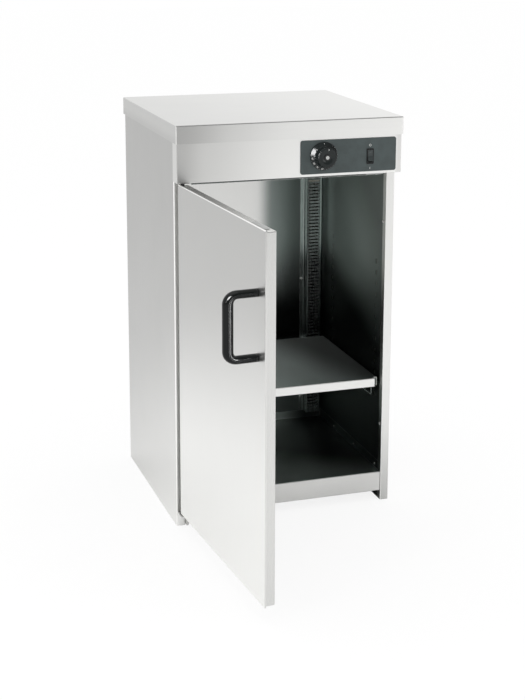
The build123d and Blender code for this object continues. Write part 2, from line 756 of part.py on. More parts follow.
def bottom_hinge_bracket():
    """A plate on the left stile's return, its leaf folded out under the door to carry the pin."""
    back = stile_front + bracket_web_depth
    nose = stile_front - bracket_nose
    tip = pivot_y - bracket_reach
    outline = Polyline((back, bracket_foot), (nose, bracket_foot), (tip, leaf_bottom), (tip, leaf_top),
                       (back, leaf_top), close=True)
    web = make_face(outline)
    web = fillet(web.vertices().sort_by(Axis.Y)[:2].sort_by(Axis.X)[0], nose_round)
    web = extrude(Plane.YZ * web, bracket_sheet)
    web = Pos(-opening_half, 0, 0) * web
    leaf_left = pivot_x - bracket_reach
    leaf = block((leaf_left, -opening_half + bracket_sheet), (tip, stile_front - moving_gap),
                 (leaf_bottom, leaf_top))
    corner = leaf.edges().filter_by(Axis.Z).sort_by(Axis.X)[:2].sort_by(Axis.Y)[0]
    leaf = fillet(corner, leaf_round)
    bracket = web + leaf
    for z in hinge_screws_z:
        bracket -= rod_x(stile_front + wall_screw_inset, z, wall_screw / 2, -opening_half - overcut,
                         -opening_half + bracket_sheet + overcut)
    return bracket - rod_z(pivot_x, pivot_y, pin_radius, leaf_bottom - overcut, leaf_top + overcut)


def hinge_washer():
    """The nylon washer under the door."""
    ring = rod_z(pivot_x, pivot_y, washer_radius, leaf_top, leaf_top + washer_thickness)
    return ring - rod_z(pivot_x, pivot_y, pin_radius, leaf_top - overcut,
                        leaf_top + washer_thickness + overcut)


def hinge_screws():
    """Two screws that fix the bottom bracket to the stile's return."""
    face = -opening_half + bracket_sheet
    y = stile_front + wall_screw_inset
    return Compound(children=[wall_screw_x(-1, y, z, face).solid() for z in hinge_screws_z])


def door_handle():
    """A D handle of round bar, thickest along the grip, drilled for its two screws."""
    outer = -pivot_depth - handle_projection
    low = handle_middle - handle_spacing / 2
    high = handle_middle + handle_spacing / 2
    path = Wire(FilletPolyline((handle_u, -pivot_depth, low), (handle_u, outer, low),
                               (handle_u, outer, high), (handle_u, -pivot_depth, high),
                               radius=handle_bend).edges())
    leg = Ellipse(handle_leg / 2, handle_grip / 2)
    grip = Circle(handle_grip / 2)
    leg_end = (handle_projection - handle_bend) / path.length
    sections = [(path ^ 0) * leg, (path ^ leg_end) * leg, (path ^ 0.5) * grip,
                (path ^ (1 - leg_end)) * leg, (path ^ 1) * leg]
    bar = sweep(sections, path=path, multisection=True)
    for z in (low, high):
        bar -= rod_y(handle_u, z, handle_screw / 2, -pivot_depth + overcut,
                     -pivot_depth - handle_screw_depth)
    return on_door(bar)


def handle_screws():
    """Two screws from inside the outer skin into the handle's legs."""
    inside = -pivot_depth + casing_sheet
    screws = []
    for side in (-1, 1):
        z = handle_middle + side * handle_spacing / 2
        screw = rod_y(handle_u, z, handle_screw / 2, inside, -pivot_depth - handle_screw_depth)
        screw += rod_y(handle_u, z, screw_head / 2, inside, inside + screw_head_height)
        screws.append(on_door(screw).solid())
    return Compound(children=screws)


def strike_plate():
    """The steel plate on the door's top wall that the magnet pulls."""
    plate = extrude(RectangleRounded(strike_width, strike_depth, strike_corner), strike_sheet)
    return on_door(Pos(catch_x - pivot_x, catch_y - pivot_y, door_top - inner_pan_step) * plate)


def catch_magnet():
    """The magnet bar, which bridges a slot in the fascia's lower flange."""
    low = fascia_bottom + casing_sheet
    half = magnet_width / 2
    depths = (catch_y - magnet_depth / 2, catch_y + magnet_depth / 2)
    return block((catch_x - half, catch_x + half), depths, (low, low + magnet_height))


def catch_poles():
    """The two steel pole plates on the magnet's sides, which reach down through the slot."""
    heights = (pole_bottom, fascia_bottom + casing_sheet + magnet_height)
    half = pole_width / 2
    poles = []
    for side in (-1, 1):
        near = catch_y + side * magnet_depth / 2
        depths = sorted((near, near + side * pole_sheet))
        poles.append(block((catch_x - half, catch_x + half), depths, heights).solid())
    return Compound(children=poles)


def door_stop():
    """The angle strip welded under the fascia that the closed door rests against."""
    visible = [
        (stop_face + stop_flange, fascia_bottom),
        (stop_face, fascia_bottom),
        (stop_face, fascia_bottom - stop_lip),
    ]
    return extrude(Plane.YZ * folded_sheet(visible, liner_sheet, Side.LEFT), stop_width / 2, both=True)


# ---- Screws on the walls --------------------------------------------------------------------------
def wall_screw_x(side, y, z, face):
    """A pan-head screw along X through a side wall, its head on the compartment's side."""
    head = rod_x(y, z, wall_screw_head / 2, face, face - side * wall_screw_head_height)
    crown = head.faces().sort_by(Axis.X)[0 if side > 0 else -1]
    head = fillet(crown.edges(), head_round)
    reach = bracket_sheet + casing_sheet + liner_sheet + screw_tail
    return head + rod_x(y, z, wall_screw / 2, face, face + side * reach)


def wall_screw_y(x, z, face, tail):
    """A pan-head screw along Y: its head stands on the face, away from the tail's end."""
    toward = -1 if tail > face else 1
    head = rod_y(x, z, wall_screw_head / 2, face, face + toward * wall_screw_head_height)
    crown = head.faces().sort_by(Axis.Y)[0 if toward < 0 else -1]
    head = fillet(crown.edges(), head_round)
    return (head + rod_y(x, z, wall_screw / 2, face, tail)).solid()


def liner_screws():
    """The screws that hold the side liners to the stiles' returns."""
    screws = []
    for side in (-1, 1):
        for z in wall_screws_z:
            y = stile_front + wall_screw_inset
            screws.append(wall_screw_x(side, y, z, side * opening_half).solid())
    return Compound(children=screws)


def tower_screws():
    """The screws through the tower cover's flange."""
    x = tower_left - tower_screw_inset
    tail = rear_face + liner_sheet + screw_tail
    return Compound(children=[wall_screw_y(x, z, rear_face - liner_sheet, tail) for z in tower_screws_z])


def fascia_screws():
    """The screws inside the fascia that hold its tabs to the stiles."""
    screws = []
    for side in (-1, 1):
        for z in fascia_screws_z:
            x = side * fascia_screw_x
            screws.append(wall_screw_y(x, z, stile_front - casing_sheet, stile_back + screw_tail))
    return Compound(children=screws)


def lid_screws():
    """The two screws through the lid's rear skirt into the casing."""
    z = overall_height - lid_screw_drop
    tail = casing_rear - casing_sheet - screw_tail
    return Compound(children=[wall_screw_y(x, z, lid_depth / 2, tail) for x in (-lid_screws_x, lid_screws_x)])


# ---- Thermostat -----------------------------------------------------------------------------------
def temperature_knob():
    """A bevelled skirt for the scale round a fluted hub, hollow underneath, with a D bore."""
    base = plate_front - moving_gap
    skirt = base - knob_skirt_height
    crown = base - knob_height
    outline = Polyline(
        (0, base), (knob_radius, base), (knob_radius, base - knob_skirt_height + knob_bevel),
        (knob_radius - knob_bevel, skirt), (knob_hub_radius, skirt),
        (knob_hub_radius - knob_hub_taper, crown), (knob_recess_radius, crown),
        (knob_recess_radius, crown + knob_recess_depth), (0, crown + knob_recess_depth), close=True)
    knob = revolve(make_face(outline), Axis.Y)
    rim = knob.edges().filter_by(GeomType.CIRCLE).sort_by(Axis.Y)[:2].sort_by(SortBy.RADIUS)[-1]
    knob = fillet(rim, knob_round)
    floor = base - knob_hollow_depth
    boss = rod_y(0, 0, spindle_radius * 2, floor, floor + knob_hollow_depth / 2)
    knob -= rod_y(0, 0, knob_hollow_radius, floor, base + overcut) - boss
    step = 360 / flute_count
    flutes = [Rot(0, index * step, 0) * rod_y(knob_hub_radius + flute_radius / 2, 0, flute_radius,
              skirt, crown - overcut) for index in range(flute_count)]
    knob -= flutes
    knob -= spindle_bar(base - spindle_in_knob, base + overcut)
    return Pos(knob_x, 0, knob_z) * knob


def spindle_bar(y_start, y_end):
    """A D-section bar along Y, its flat upwards."""
    bar = rod_y(0, 0, spindle_radius, y_start, y_end)
    flat = spindle_radius - spindle_flat
    return bar - block((-spindle_radius, spindle_radius), (y_start - overcut, y_end + overcut),
                       (flat, spindle_radius))


def knob_cap():
    """The small cap set in the hub's recess."""
    crown = plate_front - moving_gap - knob_height
    disc = rod_y(knob_x, knob_z, knob_recess_radius - cap_gap, crown - cap_rise, crown + knob_recess_depth)
    return fillet(disc.faces().sort_by(Axis.Y)[0].edges(), cap_round)


def thermostat_spindle():
    """The thermostat's spindle: round in its collar, flatted in the knob."""
    base = plate_front - moving_gap
    spindle = spindle_bar(base - spindle_in_knob, fascia_front - control_plate_sheet)
    spindle += rod_y(0, 0, spindle_radius, plate_front, fascia_front + casing_sheet + spindle_in_body)
    return Pos(knob_x, 0, knob_z) * spindle


def thermostat_body():
    """The thermostat behind the fascia: housing, collar through the plate and two tabs."""
    seat = fascia_front + casing_sheet
    rear = seat + thermostat_depth
    half_width = thermostat_width / 2
    half_height = thermostat_height / 2
    body = block((-half_width, half_width), (seat, rear), (-half_height, half_height))
    body = fillet(body.edges().filter_by(Axis.Y), thermostat_corner)
    body += rod_y(0, 0, thermostat_collar, plate_front, seat + overcut)
    for x in (-half_width / 2, half_width / 2):
        body += block((x - tab_width / 2, x + tab_width / 2), (rear - overcut, rear + tab_length),
                      (-half_height / 2, -half_height / 2 + tab_thickness))
        body -= rod_y(x * thermostat_screw_spacing / half_width, 0, wall_screw / 2, seat - overcut,
                      seat + thermostat_screw_hole)
    body -= rod_y(0, 0, spindle_radius + running_gap, plate_front - overcut,
                  seat + spindle_in_body + moving_gap)
    return Pos(knob_x, 0, knob_z) * body


def thermostat_screws():
    """Two screws through the control plate, hidden under the knob."""
    screws = []
    for side in (-1, 1):
        x = knob_x + side * thermostat_screw_spacing / 2
        head = rod_y(x, knob_z, wall_screw_head / 2, plate_front - wall_screw_head_height, plate_front)
        head += rod_y(x, knob_z, wall_screw / 2, plate_front,
                      fascia_front + casing_sheet + thermostat_screw_reach)
        screws.append(head.solid())
    return Compound(children=screws)


def thermostat_bulb():
    """The sensing bulb under the ceiling and the capillary that joins it to the thermostat."""
    start = fascia_front + casing_sheet + thermostat_depth
    x = knob_x + thermostat_width / 4
    z = knob_z + thermostat_height / 4
    hole_y = bulb_y - capillary_entry
    route = FilletPolyline(
        (x, start, z), (x, start + capillary_lead, z), (bulb_x, bulb_y - capillary_run, z - capillary_sag),
        (bulb_x, hole_y, z - capillary_fall), (bulb_x, hole_y, bulb_z), (bulb_x, bulb_y + overcut, bulb_z),
        radius=capillary_bends)
    path = Wire(route.edges())
    tube = sweep((path ^ 0) * Circle(capillary / 2), path=path)
    bulb = rod_y(bulb_x, bulb_z, bulb_radius, bulb_y, bulb_y + bulb_length)
    bulb = fillet(bulb.edges().filter_by(GeomType.CIRCLE), bulb_radius * 0.6)
    return tube + bulb


def bulb_clips():
    """Two bent clips that hang the bulb from the ceiling."""
    reach = bulb_radius + liner_sheet
    clips = []
    for y in (bulb_y + clip_inset, bulb_y + bulb_length - clip_inset):
        clip = block((-reach, reach), (-clip_width / 2, clip_width / 2), (-reach, bulb_drop))
        clip = fillet(clip.edges().filter_by(Axis.Y).sort_by(Axis.Z)[:2], clip_round)
        clip -= rod_y(0, 0, bulb_radius, -clip_width, clip_width)
        clip -= block((-bulb_radius, bulb_radius), (-clip_width, clip_width), (0, bulb_drop - liner_sheet))
        clips.append((Pos(bulb_x, y, bulb_z) * clip).solid())
    return Compound(children=clips)


# ---- Mains switch ---------------------------------------------------------------------------------
def switch_housing():
    """The rocker switch's bezel and body, with its window, axle holes and two tabs."""
    bezel = extrude(Plane.XZ * RectangleRounded(bezel_width, bezel_height, bezel_corner), bezel_sheet)
    bezel = Pos(0, plate_front, 0) * bezel
    front = plate_front - bezel_sheet
    rear = plate_front + switch_body_depth
    half_width = switch_body_width / 2
    half_height = switch_body_height / 2
    body = bezel + block((-half_width, half_width), (plate_front, rear), (-half_height, half_height))
    half_window = window_width / 2
    body -= block((-half_window, half_window), (front - overcut, front + window_depth),
                  (-window_height / 2, window_height / 2))
    body -= rod_x(front + rocker_pivot_depth, 0, axle_radius + running_gap, -half_width + axle_socket,
                  half_width - axle_socket)
    for z in (-half_height / 2, half_height / 2):
        body += block((-tab_width / 2, tab_width / 2), (rear - overcut, rear + tab_length),
                      (z - tab_thickness / 2, z + tab_thickness / 2))
    return Pos(switch_x, 0, switch_z) * body


def switch_rocker():
    """The rocker: a shallow V in front, axle stubs at its sides, resting with its top pressed in."""
    half_face = [(-rocker_depth + rocker_dish, 0), (-rocker_depth, rocker_half_height),
                 (-rocker_depth / 4, rocker_half_height + rocker_heel), (rocker_tail, rocker_tail)]
    mirrored = [(y, -z) for y, z in reversed(half_face[1:])]
    outline = Polyline(*half_face, *mirrored, close=True)
    half = window_width / 2 - rocker_gap
    rocker = extrude(Plane.YZ * make_face(outline), half, both=True)
    axle_half = switch_body_width / 2 - axle_socket - axle_end_gap
    rocker += rod_x(0, 0, axle_radius, -axle_half, axle_half)
    pivot = plate_front - bezel_sheet + rocker_pivot_depth
    return Pos(switch_x, pivot, switch_z) * Rot(-rocker_tilt, 0, 0) * rocker


# ---- Mains inlet ----------------------------------------------------------------------------------
def cable_gland():
    """The gland in the casing's back: flange, domed cap, thread and lock nut round one bore."""
    outside = casing_rear
    inside = casing_rear - casing_sheet
    thread_end = inside - gland_nut - gland_tail
    cap = gland_radius - gland_step
    outline = Polyline(
        (gland_bore, outside + gland_dome), (gland_bore, thread_end), (gland_thread, thread_end),
        (gland_thread, inside - gland_nut), (gland_radius, inside - gland_nut), (gland_radius, inside),
        (gland_thread, inside), (gland_thread, outside), (gland_radius, outside),
        (gland_radius, outside + gland_flange), (cap, outside + gland_flange + gland_step),
        (cap, outside + gland_barrel), (gland_bore + gland_lip, outside + gland_dome), close=True)
    return Pos(gland_x, 0, gland_z) * revolve(make_face(outline), Axis.Y)


def terminal_block():
    """The screw terminal block on the ceiling tray, one raised way for each conductor."""
    seat = (Align.CENTER, Align.CENTER, Align.MIN)
    body = Box(terminal_width, terminal_depth, terminal_height / 2, align=seat)
    pitch = terminal_width / terminal_ways
    for way in range(terminal_ways):
        x = (way - (terminal_ways - 1) / 2) * pitch
        raised = Box(pitch * terminal_way_share, terminal_depth, terminal_height / 2, align=seat)
        body += Pos(x, 0, terminal_height / 2) * raised
        for y in (-terminal_depth / 4, terminal_depth / 4):
            body -= rod_z(x, y, pitch * terminal_hole_share, terminal_height / 2, terminal_height + overcut)
    return Pos(gland_x - terminal_aside, casing_rear - terminal_rear_gap, ceiling_top) * body


nodes = {
    "top_cover": top_cover,
    "outer_casing": outer_casing,
    "fascia": fascia,
    "control_plate": control_plate,
    "left_liner": lambda: side_liner(-1),
    "right_liner": lambda: side_liner(1),
    "rear_liner": rear_liner,
    "ceiling_liner": ceiling_liner,
    "floor_pan": floor_pan,
    "floor_rivets": floor_rivets,
    "shelf": shelf,
    "left_shelf_support": lambda: shelf_support(-1),
    "right_shelf_support": lambda: shelf_support(1),
    "heater_tower_cover": heater_tower_cover,
    "heating_element": heating_element,
    "element_insulators": element_insulators,
    "element_brackets": element_brackets,
    "door_outer_skin": door_outer_skin,
    "door_inner_pan": door_inner_pan,
    "hinge_blocks": hinge_blocks,
    "hinge_pins": hinge_pins,
    "top_hinge_plate": top_hinge_plate,
    "bottom_hinge_bracket": bottom_hinge_bracket,
    "hinge_washer": hinge_washer,
    "hinge_screws": hinge_screws,
    "door_handle": door_handle,
    "handle_screws": handle_screws,
    "strike_plate": strike_plate,
    "catch_magnet": catch_magnet,
    "catch_poles": catch_poles,
    "door_stop": door_stop,
    "fascia_screws": fascia_screws,
    "liner_screws": liner_screws,
    "tower_screws": tower_screws,
    "lid_screws": lid_screws,
    "temperature_knob": temperature_knob,
    "knob_cap": knob_cap,
    "thermostat_spindle": thermostat_spindle,
    "thermostat_body": thermostat_body,
    "thermostat_screws": thermostat_screws,
    "thermostat_bulb": thermostat_bulb,
    "bulb_clips": bulb_clips,
    "switch_housing": switch_housing,
    "switch_rocker": switch_rocker,
    "cable_gland": cable_gland,
    "terminal_block": terminal_block,
}

os.makedirs("parts", exist_ok=True)
for name, build in nodes.items():
    export_step(build(), f"parts/{name}.step")
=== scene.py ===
"""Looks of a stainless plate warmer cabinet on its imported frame: finishes, moulded pieces and prints."""

import logging
import math
from collections.abc import Callable
from dataclasses import dataclass, field
from enum import Enum

import bpy
import numpy as np
from mathutils import Matrix, Vector


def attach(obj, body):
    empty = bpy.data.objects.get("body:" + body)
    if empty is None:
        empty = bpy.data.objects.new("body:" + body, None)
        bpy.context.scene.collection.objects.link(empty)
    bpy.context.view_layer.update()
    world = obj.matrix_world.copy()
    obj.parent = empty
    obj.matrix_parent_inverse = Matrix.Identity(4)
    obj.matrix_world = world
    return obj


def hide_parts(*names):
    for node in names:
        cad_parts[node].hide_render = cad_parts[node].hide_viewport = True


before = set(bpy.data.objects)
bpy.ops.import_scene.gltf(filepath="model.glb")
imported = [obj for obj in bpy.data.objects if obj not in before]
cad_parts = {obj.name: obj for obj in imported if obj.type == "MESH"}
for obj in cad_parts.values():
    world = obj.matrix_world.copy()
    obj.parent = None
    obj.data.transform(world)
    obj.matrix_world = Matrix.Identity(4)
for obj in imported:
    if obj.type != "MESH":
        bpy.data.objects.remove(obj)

Colour = tuple[float, float, float]
Point = tuple[float, float, float]
Span = tuple[float, float]
Node = bpy.types.Node
Socket = bpy.types.NodeSocket
Tree = bpy.types.NodeTree

log = logging.getLogger("plate_warmer")

# Nearly all of a fractal noise lies between these two values.
NOISE_SPAN: Span = (0.3, 0.7)
# Where the knob's axis meets the control plate.
KNOB_X, KNOB_Z = 0.063, 0.7207


def around(middle: float, spread: float) -> Span:
    """The two ends of a range of a given width about its middle."""
    return middle - spread / 2, middle + spread / 2


# ---- Node wiring ----
class Wiring:
    """Adds nodes to one node tree and joins them."""

    def __init__(self, tree: Tree) -> None:
        """Keeps the tree that the nodes go into."""
        self.tree = tree

    @classmethod
    def afresh(cls, owner: bpy.types.Material | bpy.types.World) -> "Wiring":
        """Clears the nodes of a material or a world.

        Args:
            owner: what the nodes belong to.

        Returns:
            Wiring on its empty node tree.
        """
        owner.use_nodes = True
        owner.node_tree.nodes.clear()
        return cls(owner.node_tree)

    def feed(self, node: Node, inputs: dict[str | int, object]) -> None:
        """Sets and links a node's sockets.

        Args:
            node: the node.
            inputs: socket name or index to a number, a tuple, or the output socket that is linked to it.
        """
        for name, value in inputs.items():
            socket = node.inputs[name]
            if isinstance(value, Socket):
                self.tree.links.new(value, socket)
            elif socket.type == "RGBA" and len(value) == 3:
                socket.default_value = (*value, 1.0)
            else:
                socket.default_value = value

    def add(self, kind: str, inputs: dict[str | int, object] | None = None,
            **settings: object) -> Node:
        """Makes one node.

        Args:
            kind: the node's Blender type name.
            inputs: what its sockets are given, as for feed.
            **settings: attributes of the node.

        Returns:
            The new node.
        """
        node = self.tree.nodes.new(kind)
        for name, value in settings.items():
            setattr(node, name, value)
        self.feed(node, inputs or {})
        return node

    def maths(self, operation: str, *values: object) -> Socket:
        """The result of a Math node on numbers or sockets."""
        return self.add("ShaderNodeMath", dict(enumerate(values)), operation=operation).outputs[0]

    def vectors(self, operation: str, *values: object) -> Socket:
        """The result of a Vector Math node: a number for a length or a dot product, or else a vector."""
        node = self.add("ShaderNodeVectorMath", dict(enumerate(values)), operation=operation)
        return node.outputs["Value" if operation in ("LENGTH", "DOT_PRODUCT") else "Vector"]

    def ramp(self, value: object, low: object, high: object, at_low: object = 0.0,
             at_high: object = 1.0) -> Socket:
        """Carries a value from one range to another with soft ends.

        Args:
            value: the socket that is mapped.
            low: the value where the ramp starts.
            high: the value where it ends.
            at_low: the result at and below low.
            at_high: the result at and above high.

        Returns:
            The mapped value's socket.
        """
        inputs = {0: value, 1: low, 2: high, 3: at_low, 4: at_high}
        return self.add("ShaderNodeMapRange", inputs, interpolation_type="SMOOTHSTEP").outputs[0]

    def blend(self, factor: object, first: object, second: object) -> Socket:
        """Mixes two colours: a factor of 0 gives the first and 1 the second."""
        return self.add("ShaderNodeMix", {0: factor, 6: first, 7: second}, data_type="RGBA").outputs[2]

    def noise(self, place: object, scale: object, detail: float, roughness: float = 0.5) -> Socket:
        """Fractal noise.

        Args:
            place: where the noise is read.
            scale: its size, in waves per metre.
            detail: how many finer layers it has.
            roughness: how strong the finer layers are.

        Returns:
            The noise value's socket, about 0 to 1.
        """
        inputs = {"Vector": place, "Scale": scale, "Detail": detail, "Roughness": roughness}
        return self.add("ShaderNodeTexNoise", inputs).outputs[0]

    def bump(self, height: object, strength: float, depth: float) -> Socket:
        """The normal of a surface whose height changes by a depth in metres."""
        inputs = {"Height": height, "Strength": strength, "Distance": depth}
        return self.add("ShaderNodeBump", inputs).outputs[0]


# ---- Shared effects ----
@dataclass(frozen=True)
class Effect:
    """A shader node group that several finishes share, built once. Each reads its pattern at a place."""

    title: str

    def group(self) -> Tree:
        """The group's node tree, made at its first use.

        Returns:
            The node tree.
        """
        if self.title not in bpy.data.node_groups:
            self.fill()
        return bpy.data.node_groups[self.title]

    def begin(self, inputs: dict[str, object], *outputs: str) -> tuple[Wiring, bpy.types.NodeOutputs, Node]:
        """Makes the group's node tree and its sockets: a place, and what is named here.

        Args:
            inputs: socket name to its default, a number or a vector.
            *outputs: the names of the values that it puts out.

        Returns:
            The wiring, what the group is given, and its output node.
        """
        tree = bpy.data.node_groups.new(self.title, "ShaderNodeTree")
        for name, default in {"Place": (0, 0, 0), **inputs}.items():
            kind = "NodeSocketVector" if isinstance(default, tuple) else "NodeSocketFloat"
            tree.interface.new_socket(name, in_out="INPUT", socket_type=kind).default_value = default
        for name in outputs:
            tree.interface.new_socket(name, in_out="OUTPUT", socket_type="NodeSocketFloat")
        wiring = Wiring(tree)
        return wiring, wiring.add("NodeGroupInput").outputs, wiring.add("NodeGroupOutput")

    def fill(self) -> None:
        """Builds what is inside the group."""
        raise NotImplementedError

    def place(self, wiring: Wiring, **inputs: object) -> Node:
        """Puts the group in a material, with values for its inputs by name."""
        return wiring.add("ShaderNodeGroup", inputs, node_tree=self.group())


@dataclass(frozen=True)
class BrushedGrain(Effect):
    """Fine lines of a brushed or rolled sheet, long in one direction."""

    fine_share: float = 0.85
    coarse_scale: float = 0.21

    def fill(self) -> None:
        """Two layers of noise on a stretched place, one fine and one coarse."""
        wiring, given, result = self.begin({"Stretch": (1, 1, 1)}, "Grain", "Height")
        place = wiring.vectors("MULTIPLY", given["Place"], given["Stretch"])
        fine = wiring.noise(place, 1.0, 3.0, 0.6)
        coarse = wiring.maths("MULTIPLY", wiring.noise(place, self.coarse_scale, 2.0), 1 - self.fine_share)
        grain = wiring.ramp(wiring.maths("MULTIPLY_ADD", fine, self.fine_share, coarse), *NOISE_SPAN)
        wiring.feed(result, {"Grain": grain, "Height": fine})


class SheetWaves(Effect):
    """The slow waves of thin sheet metal, which bend what it mirrors."""

    def fill(self) -> None:
        """One layer of very wide noise."""
        wiring, given, result = self.begin({"Size": 5.0}, "Height")
        wiring.feed(result, {"Height": wiring.noise(given["Place"], given["Size"], 1.0)})


@dataclass(frozen=True)
class EdgeWearAndHighlight(Effect):
    """A mask along edges and corners, broken up by noise, where handling polishes the surface; at full
    strength on the heater tower it paints a highlight round the louvre slots.
    """

    bend: Span = (0.01, 0.2)
    patches: Span = (0.3, 0.65)
    patch_size: float = 160.0
    least: float = 0.35

    def fill(self) -> None:
        """One minus the dot product of the normal and the rounded normal, times noise."""
        wiring, given, result = self.begin({"Reach": 0.0012, "Amount": 1.0}, "Mask")
        rounded = wiring.add("ShaderNodeBevel", {"Radius": given["Reach"]}, samples=4).outputs[0]
        plain = wiring.add("ShaderNodeNewGeometry").outputs["Normal"]
        turned = wiring.maths("SUBTRACT", 1.0, wiring.vectors("DOT_PRODUCT", rounded, plain))
        noise = wiring.noise(given["Place"], self.patch_size, 3.0)
        mask = wiring.maths("MULTIPLY", wiring.ramp(turned, *self.bend),
                            wiring.ramp(noise, *self.patches, self.least, 1.0))
        wiring.feed(result, {"Mask": wiring.maths("MULTIPLY", mask, given["Amount"])})


@dataclass(frozen=True)
class HandMarks(Effect):
    """Soft smears and finger marks that dull or polish a surface in patches."""

    patches: Span = (0.42, 0.68)
    fine_size: float = 140.0

    def fill(self) -> None:
        """Noise in patches, cut by finer noise."""
        wiring, given, result = self.begin({"Size": 9.0, "Amount": 0.1}, "Dulling")
        patches = wiring.ramp(wiring.noise(given["Place"], given["Size"], 4.0), *self.patches)
        marks = wiring.maths("MULTIPLY", patches, wiring.noise(given["Place"], self.fine_size, 2.0))
        wiring.feed(result, {"Dulling": wiring.maths("MULTIPLY", marks, given["Amount"])})


class Fade(Effect):
    """A soft passage from 0 to 1 along one direction."""

    def fill(self) -> None:
        """The place's dot product with the direction, mapped between two distances."""
        wiring, given, result = self.begin({"Direction": (0, 0, 1), "Start": 0.0, "End": 1.0}, "Share")
        along = wiring.vectors("DOT_PRODUCT", given["Place"], given["Direction"])
        wiring.feed(result, {"Share": wiring.ramp(along, given["Start"], given["End"])})


BRUSHED = BrushedGrain("brushed_grain")
WAVES = SheetWaves("sheet_waves")
EDGE_WEAR_AND_HIGHLIGHT = EdgeWearAndHighlight("edge_wear_and_highlight")
MARKS = HandMarks("hand_marks")
FADE = Fade("soft_fade")


# ---- Finishes ----
class GrainWay(Enum):
    """The direction that a sheet was brushed in, as the stretch of its grain along X, Y and Z."""

    ALONG_X = (9.0, 2200.0, 2200.0)
    UPRIGHT = (2200.0, 2200.0, 9.0)
    EVEN = (900.0, 900.0, 900.0)


@dataclass(frozen=True)
class Finish:
    """What every finish has: a name and a way to make its material."""

    name: str

    def material(self) -> bpy.types.Material:
        """The finish's material, made at its first use.

        Returns:
            A material named after the finish.
        """
        title = self.name + "_finish"
        made = bpy.data.materials.get(title)
        if made is None:
            made = bpy.data.materials.new(title)
            wiring = Wiring.afresh(made)
            shader = wiring.add("ShaderNodeBsdfPrincipled")
            wiring.add("ShaderNodeOutputMaterial", {"Surface": shader.outputs[0]})
            self.shade(wiring, shader, wiring.add("ShaderNodeTexCoord").outputs["Object"])
        return made

    def shade(self, wiring: Wiring, shader: Node, place: Socket) -> None:
        """Sets the shader's sockets."""
        raise NotImplementedError


@dataclass(frozen=True)
class PaintedLightBand:
    """A stretch of a sheet painted darker or lighter than the rest, with soft ends: the bands lay painted
    reflections, painted shade and painted highlights into the steel's base colour.

    The band grows from start to end along a direction, and by default it covers the whole cabinet. Where it
    has a facing, it covers only what faces that way: a higher sharpness asks for a closer match.
    """

    tone: Colour
    way: Point = (0.0, 0.0, 1.0)
    start: float = -9.0
    end: float = -8.0
    facing: Point | None = None
    sharpness: float = 0.75
    softness: Span = (-0.15, 0.10)

    def share(self, wiring: Wiring, place: Socket, normal: Socket) -> object:
        """How much of the band's painted tone shows.

        Args:
            wiring: the material's wiring.
            place: the Object coordinates.
            normal: the surface's normal in the object's frame.

        Returns:
            A socket from 0 to 1.
        """
        share = FADE.place(wiring, Place=place, Direction=self.way, Start=self.start, End=self.end).outputs[0]
        if self.facing:
            low, high = (self.sharpness + step for step in self.softness)
            turned = FADE.place(wiring, Place=normal, Direction=self.facing, Start=low, End=high).outputs[0]
            share = wiring.maths("MULTIPLY", share, turned)
        return share


@dataclass(frozen=True)
class SteelFinish(Finish):
    """Brushed or rolled stainless sheet.

    Contrast and spread are how far its tone and its roughness vary with the grain, and wear, waves and marks
    are strengths. Full waves stand wave_height times as high as the grain, and depth is in metres. Edges are
    lightened towards a rubbed tone, which on the heater tower is a painted highlight, and bands paint
    reflections and shade into the base colour.
    """

    tone: Colour
    roughness: float = 0.3
    spread: float = 0.05
    way: GrainWay = GrainWay.UPRIGHT
    contrast: float = 0.012
    wear_and_highlight: float = 0.35
    waves: float = 0.1
    marks: float = 0.03
    painted_light_bands: tuple[PaintedLightBand, ...] = ()
    # The tone of rubbed edges; on the heater tower's louvre slots it is a painted highlight.
    edge_polish_and_highlight: Colour = (0.86, 0.86, 0.84)
    wave_size: float = 4.5
    wave_height: float = 60.0
    bump: float = 0.22
    depth: float = 0.000008

    def shade(self, wiring: Wiring, shader: Node, place: Socket) -> None:
        """Grain in tone, roughness and height, wide waves, smears, polished edges, painted reflection and
        shade.

        Args:
            wiring: the material's wiring.
            shader: its Principled shader.
            place: the Object coordinates.
        """
        grain = BRUSHED.place(wiring, Place=place, Stretch=self.way.value).outputs
        level = wiring.ramp(grain["Grain"], 0.0, 1.0, *around(1.0, 2 * self.contrast))
        colour = wiring.add("ShaderNodeVectorMath", {0: self.tone_with_painted_light(wiring, place), "Scale": level},
                            operation="SCALE").outputs[0]
        wear_and_highlight = EDGE_WEAR_AND_HIGHLIGHT.place(wiring, Place=place, Amount=self.wear_and_highlight).outputs["Mask"]
        rough = wiring.ramp(grain["Grain"], 0.0, 1.0, *around(self.roughness, self.spread))
        marks = MARKS.place(wiring, Place=place, Amount=self.marks).outputs["Dulling"]
        waves = WAVES.place(wiring, Place=place, Size=self.wave_size).outputs["Height"]
        height = wiring.maths("MULTIPLY_ADD", waves, self.waves * self.wave_height, grain["Height"])
        wiring.feed(shader, {"Base Color": wiring.blend(wear_and_highlight, colour, self.edge_polish_and_highlight), "Metallic": 1.0,
                             "Roughness": wiring.maths("ADD", rough, marks),
                             "Normal": wiring.bump(height, self.bump, self.depth)})

    def tone_with_painted_light(self, wiring: Wiring, place: Socket) -> object:
        """The base tone with each band of painted reflection and painted shade laid over it in turn.

        Args:
            wiring: the material's wiring.
            place: the Object coordinates.

        Returns:
            A colour socket, or the plain tone where there are no painted bands.
        """
        if not self.painted_light_bands:
            return self.tone
        world = wiring.add("ShaderNodeNewGeometry").outputs["Normal"]
        normal = wiring.add("ShaderNodeVectorTransform", {0: world}, vector_type="NORMAL",
                            convert_from="WORLD", convert_to="OBJECT").outputs[0]
        tone: object = self.tone
        for light_band in self.painted_light_bands:
            tone = wiring.blend(light_band.share(wiring, place, normal), tone, light_band.tone)
        return tone


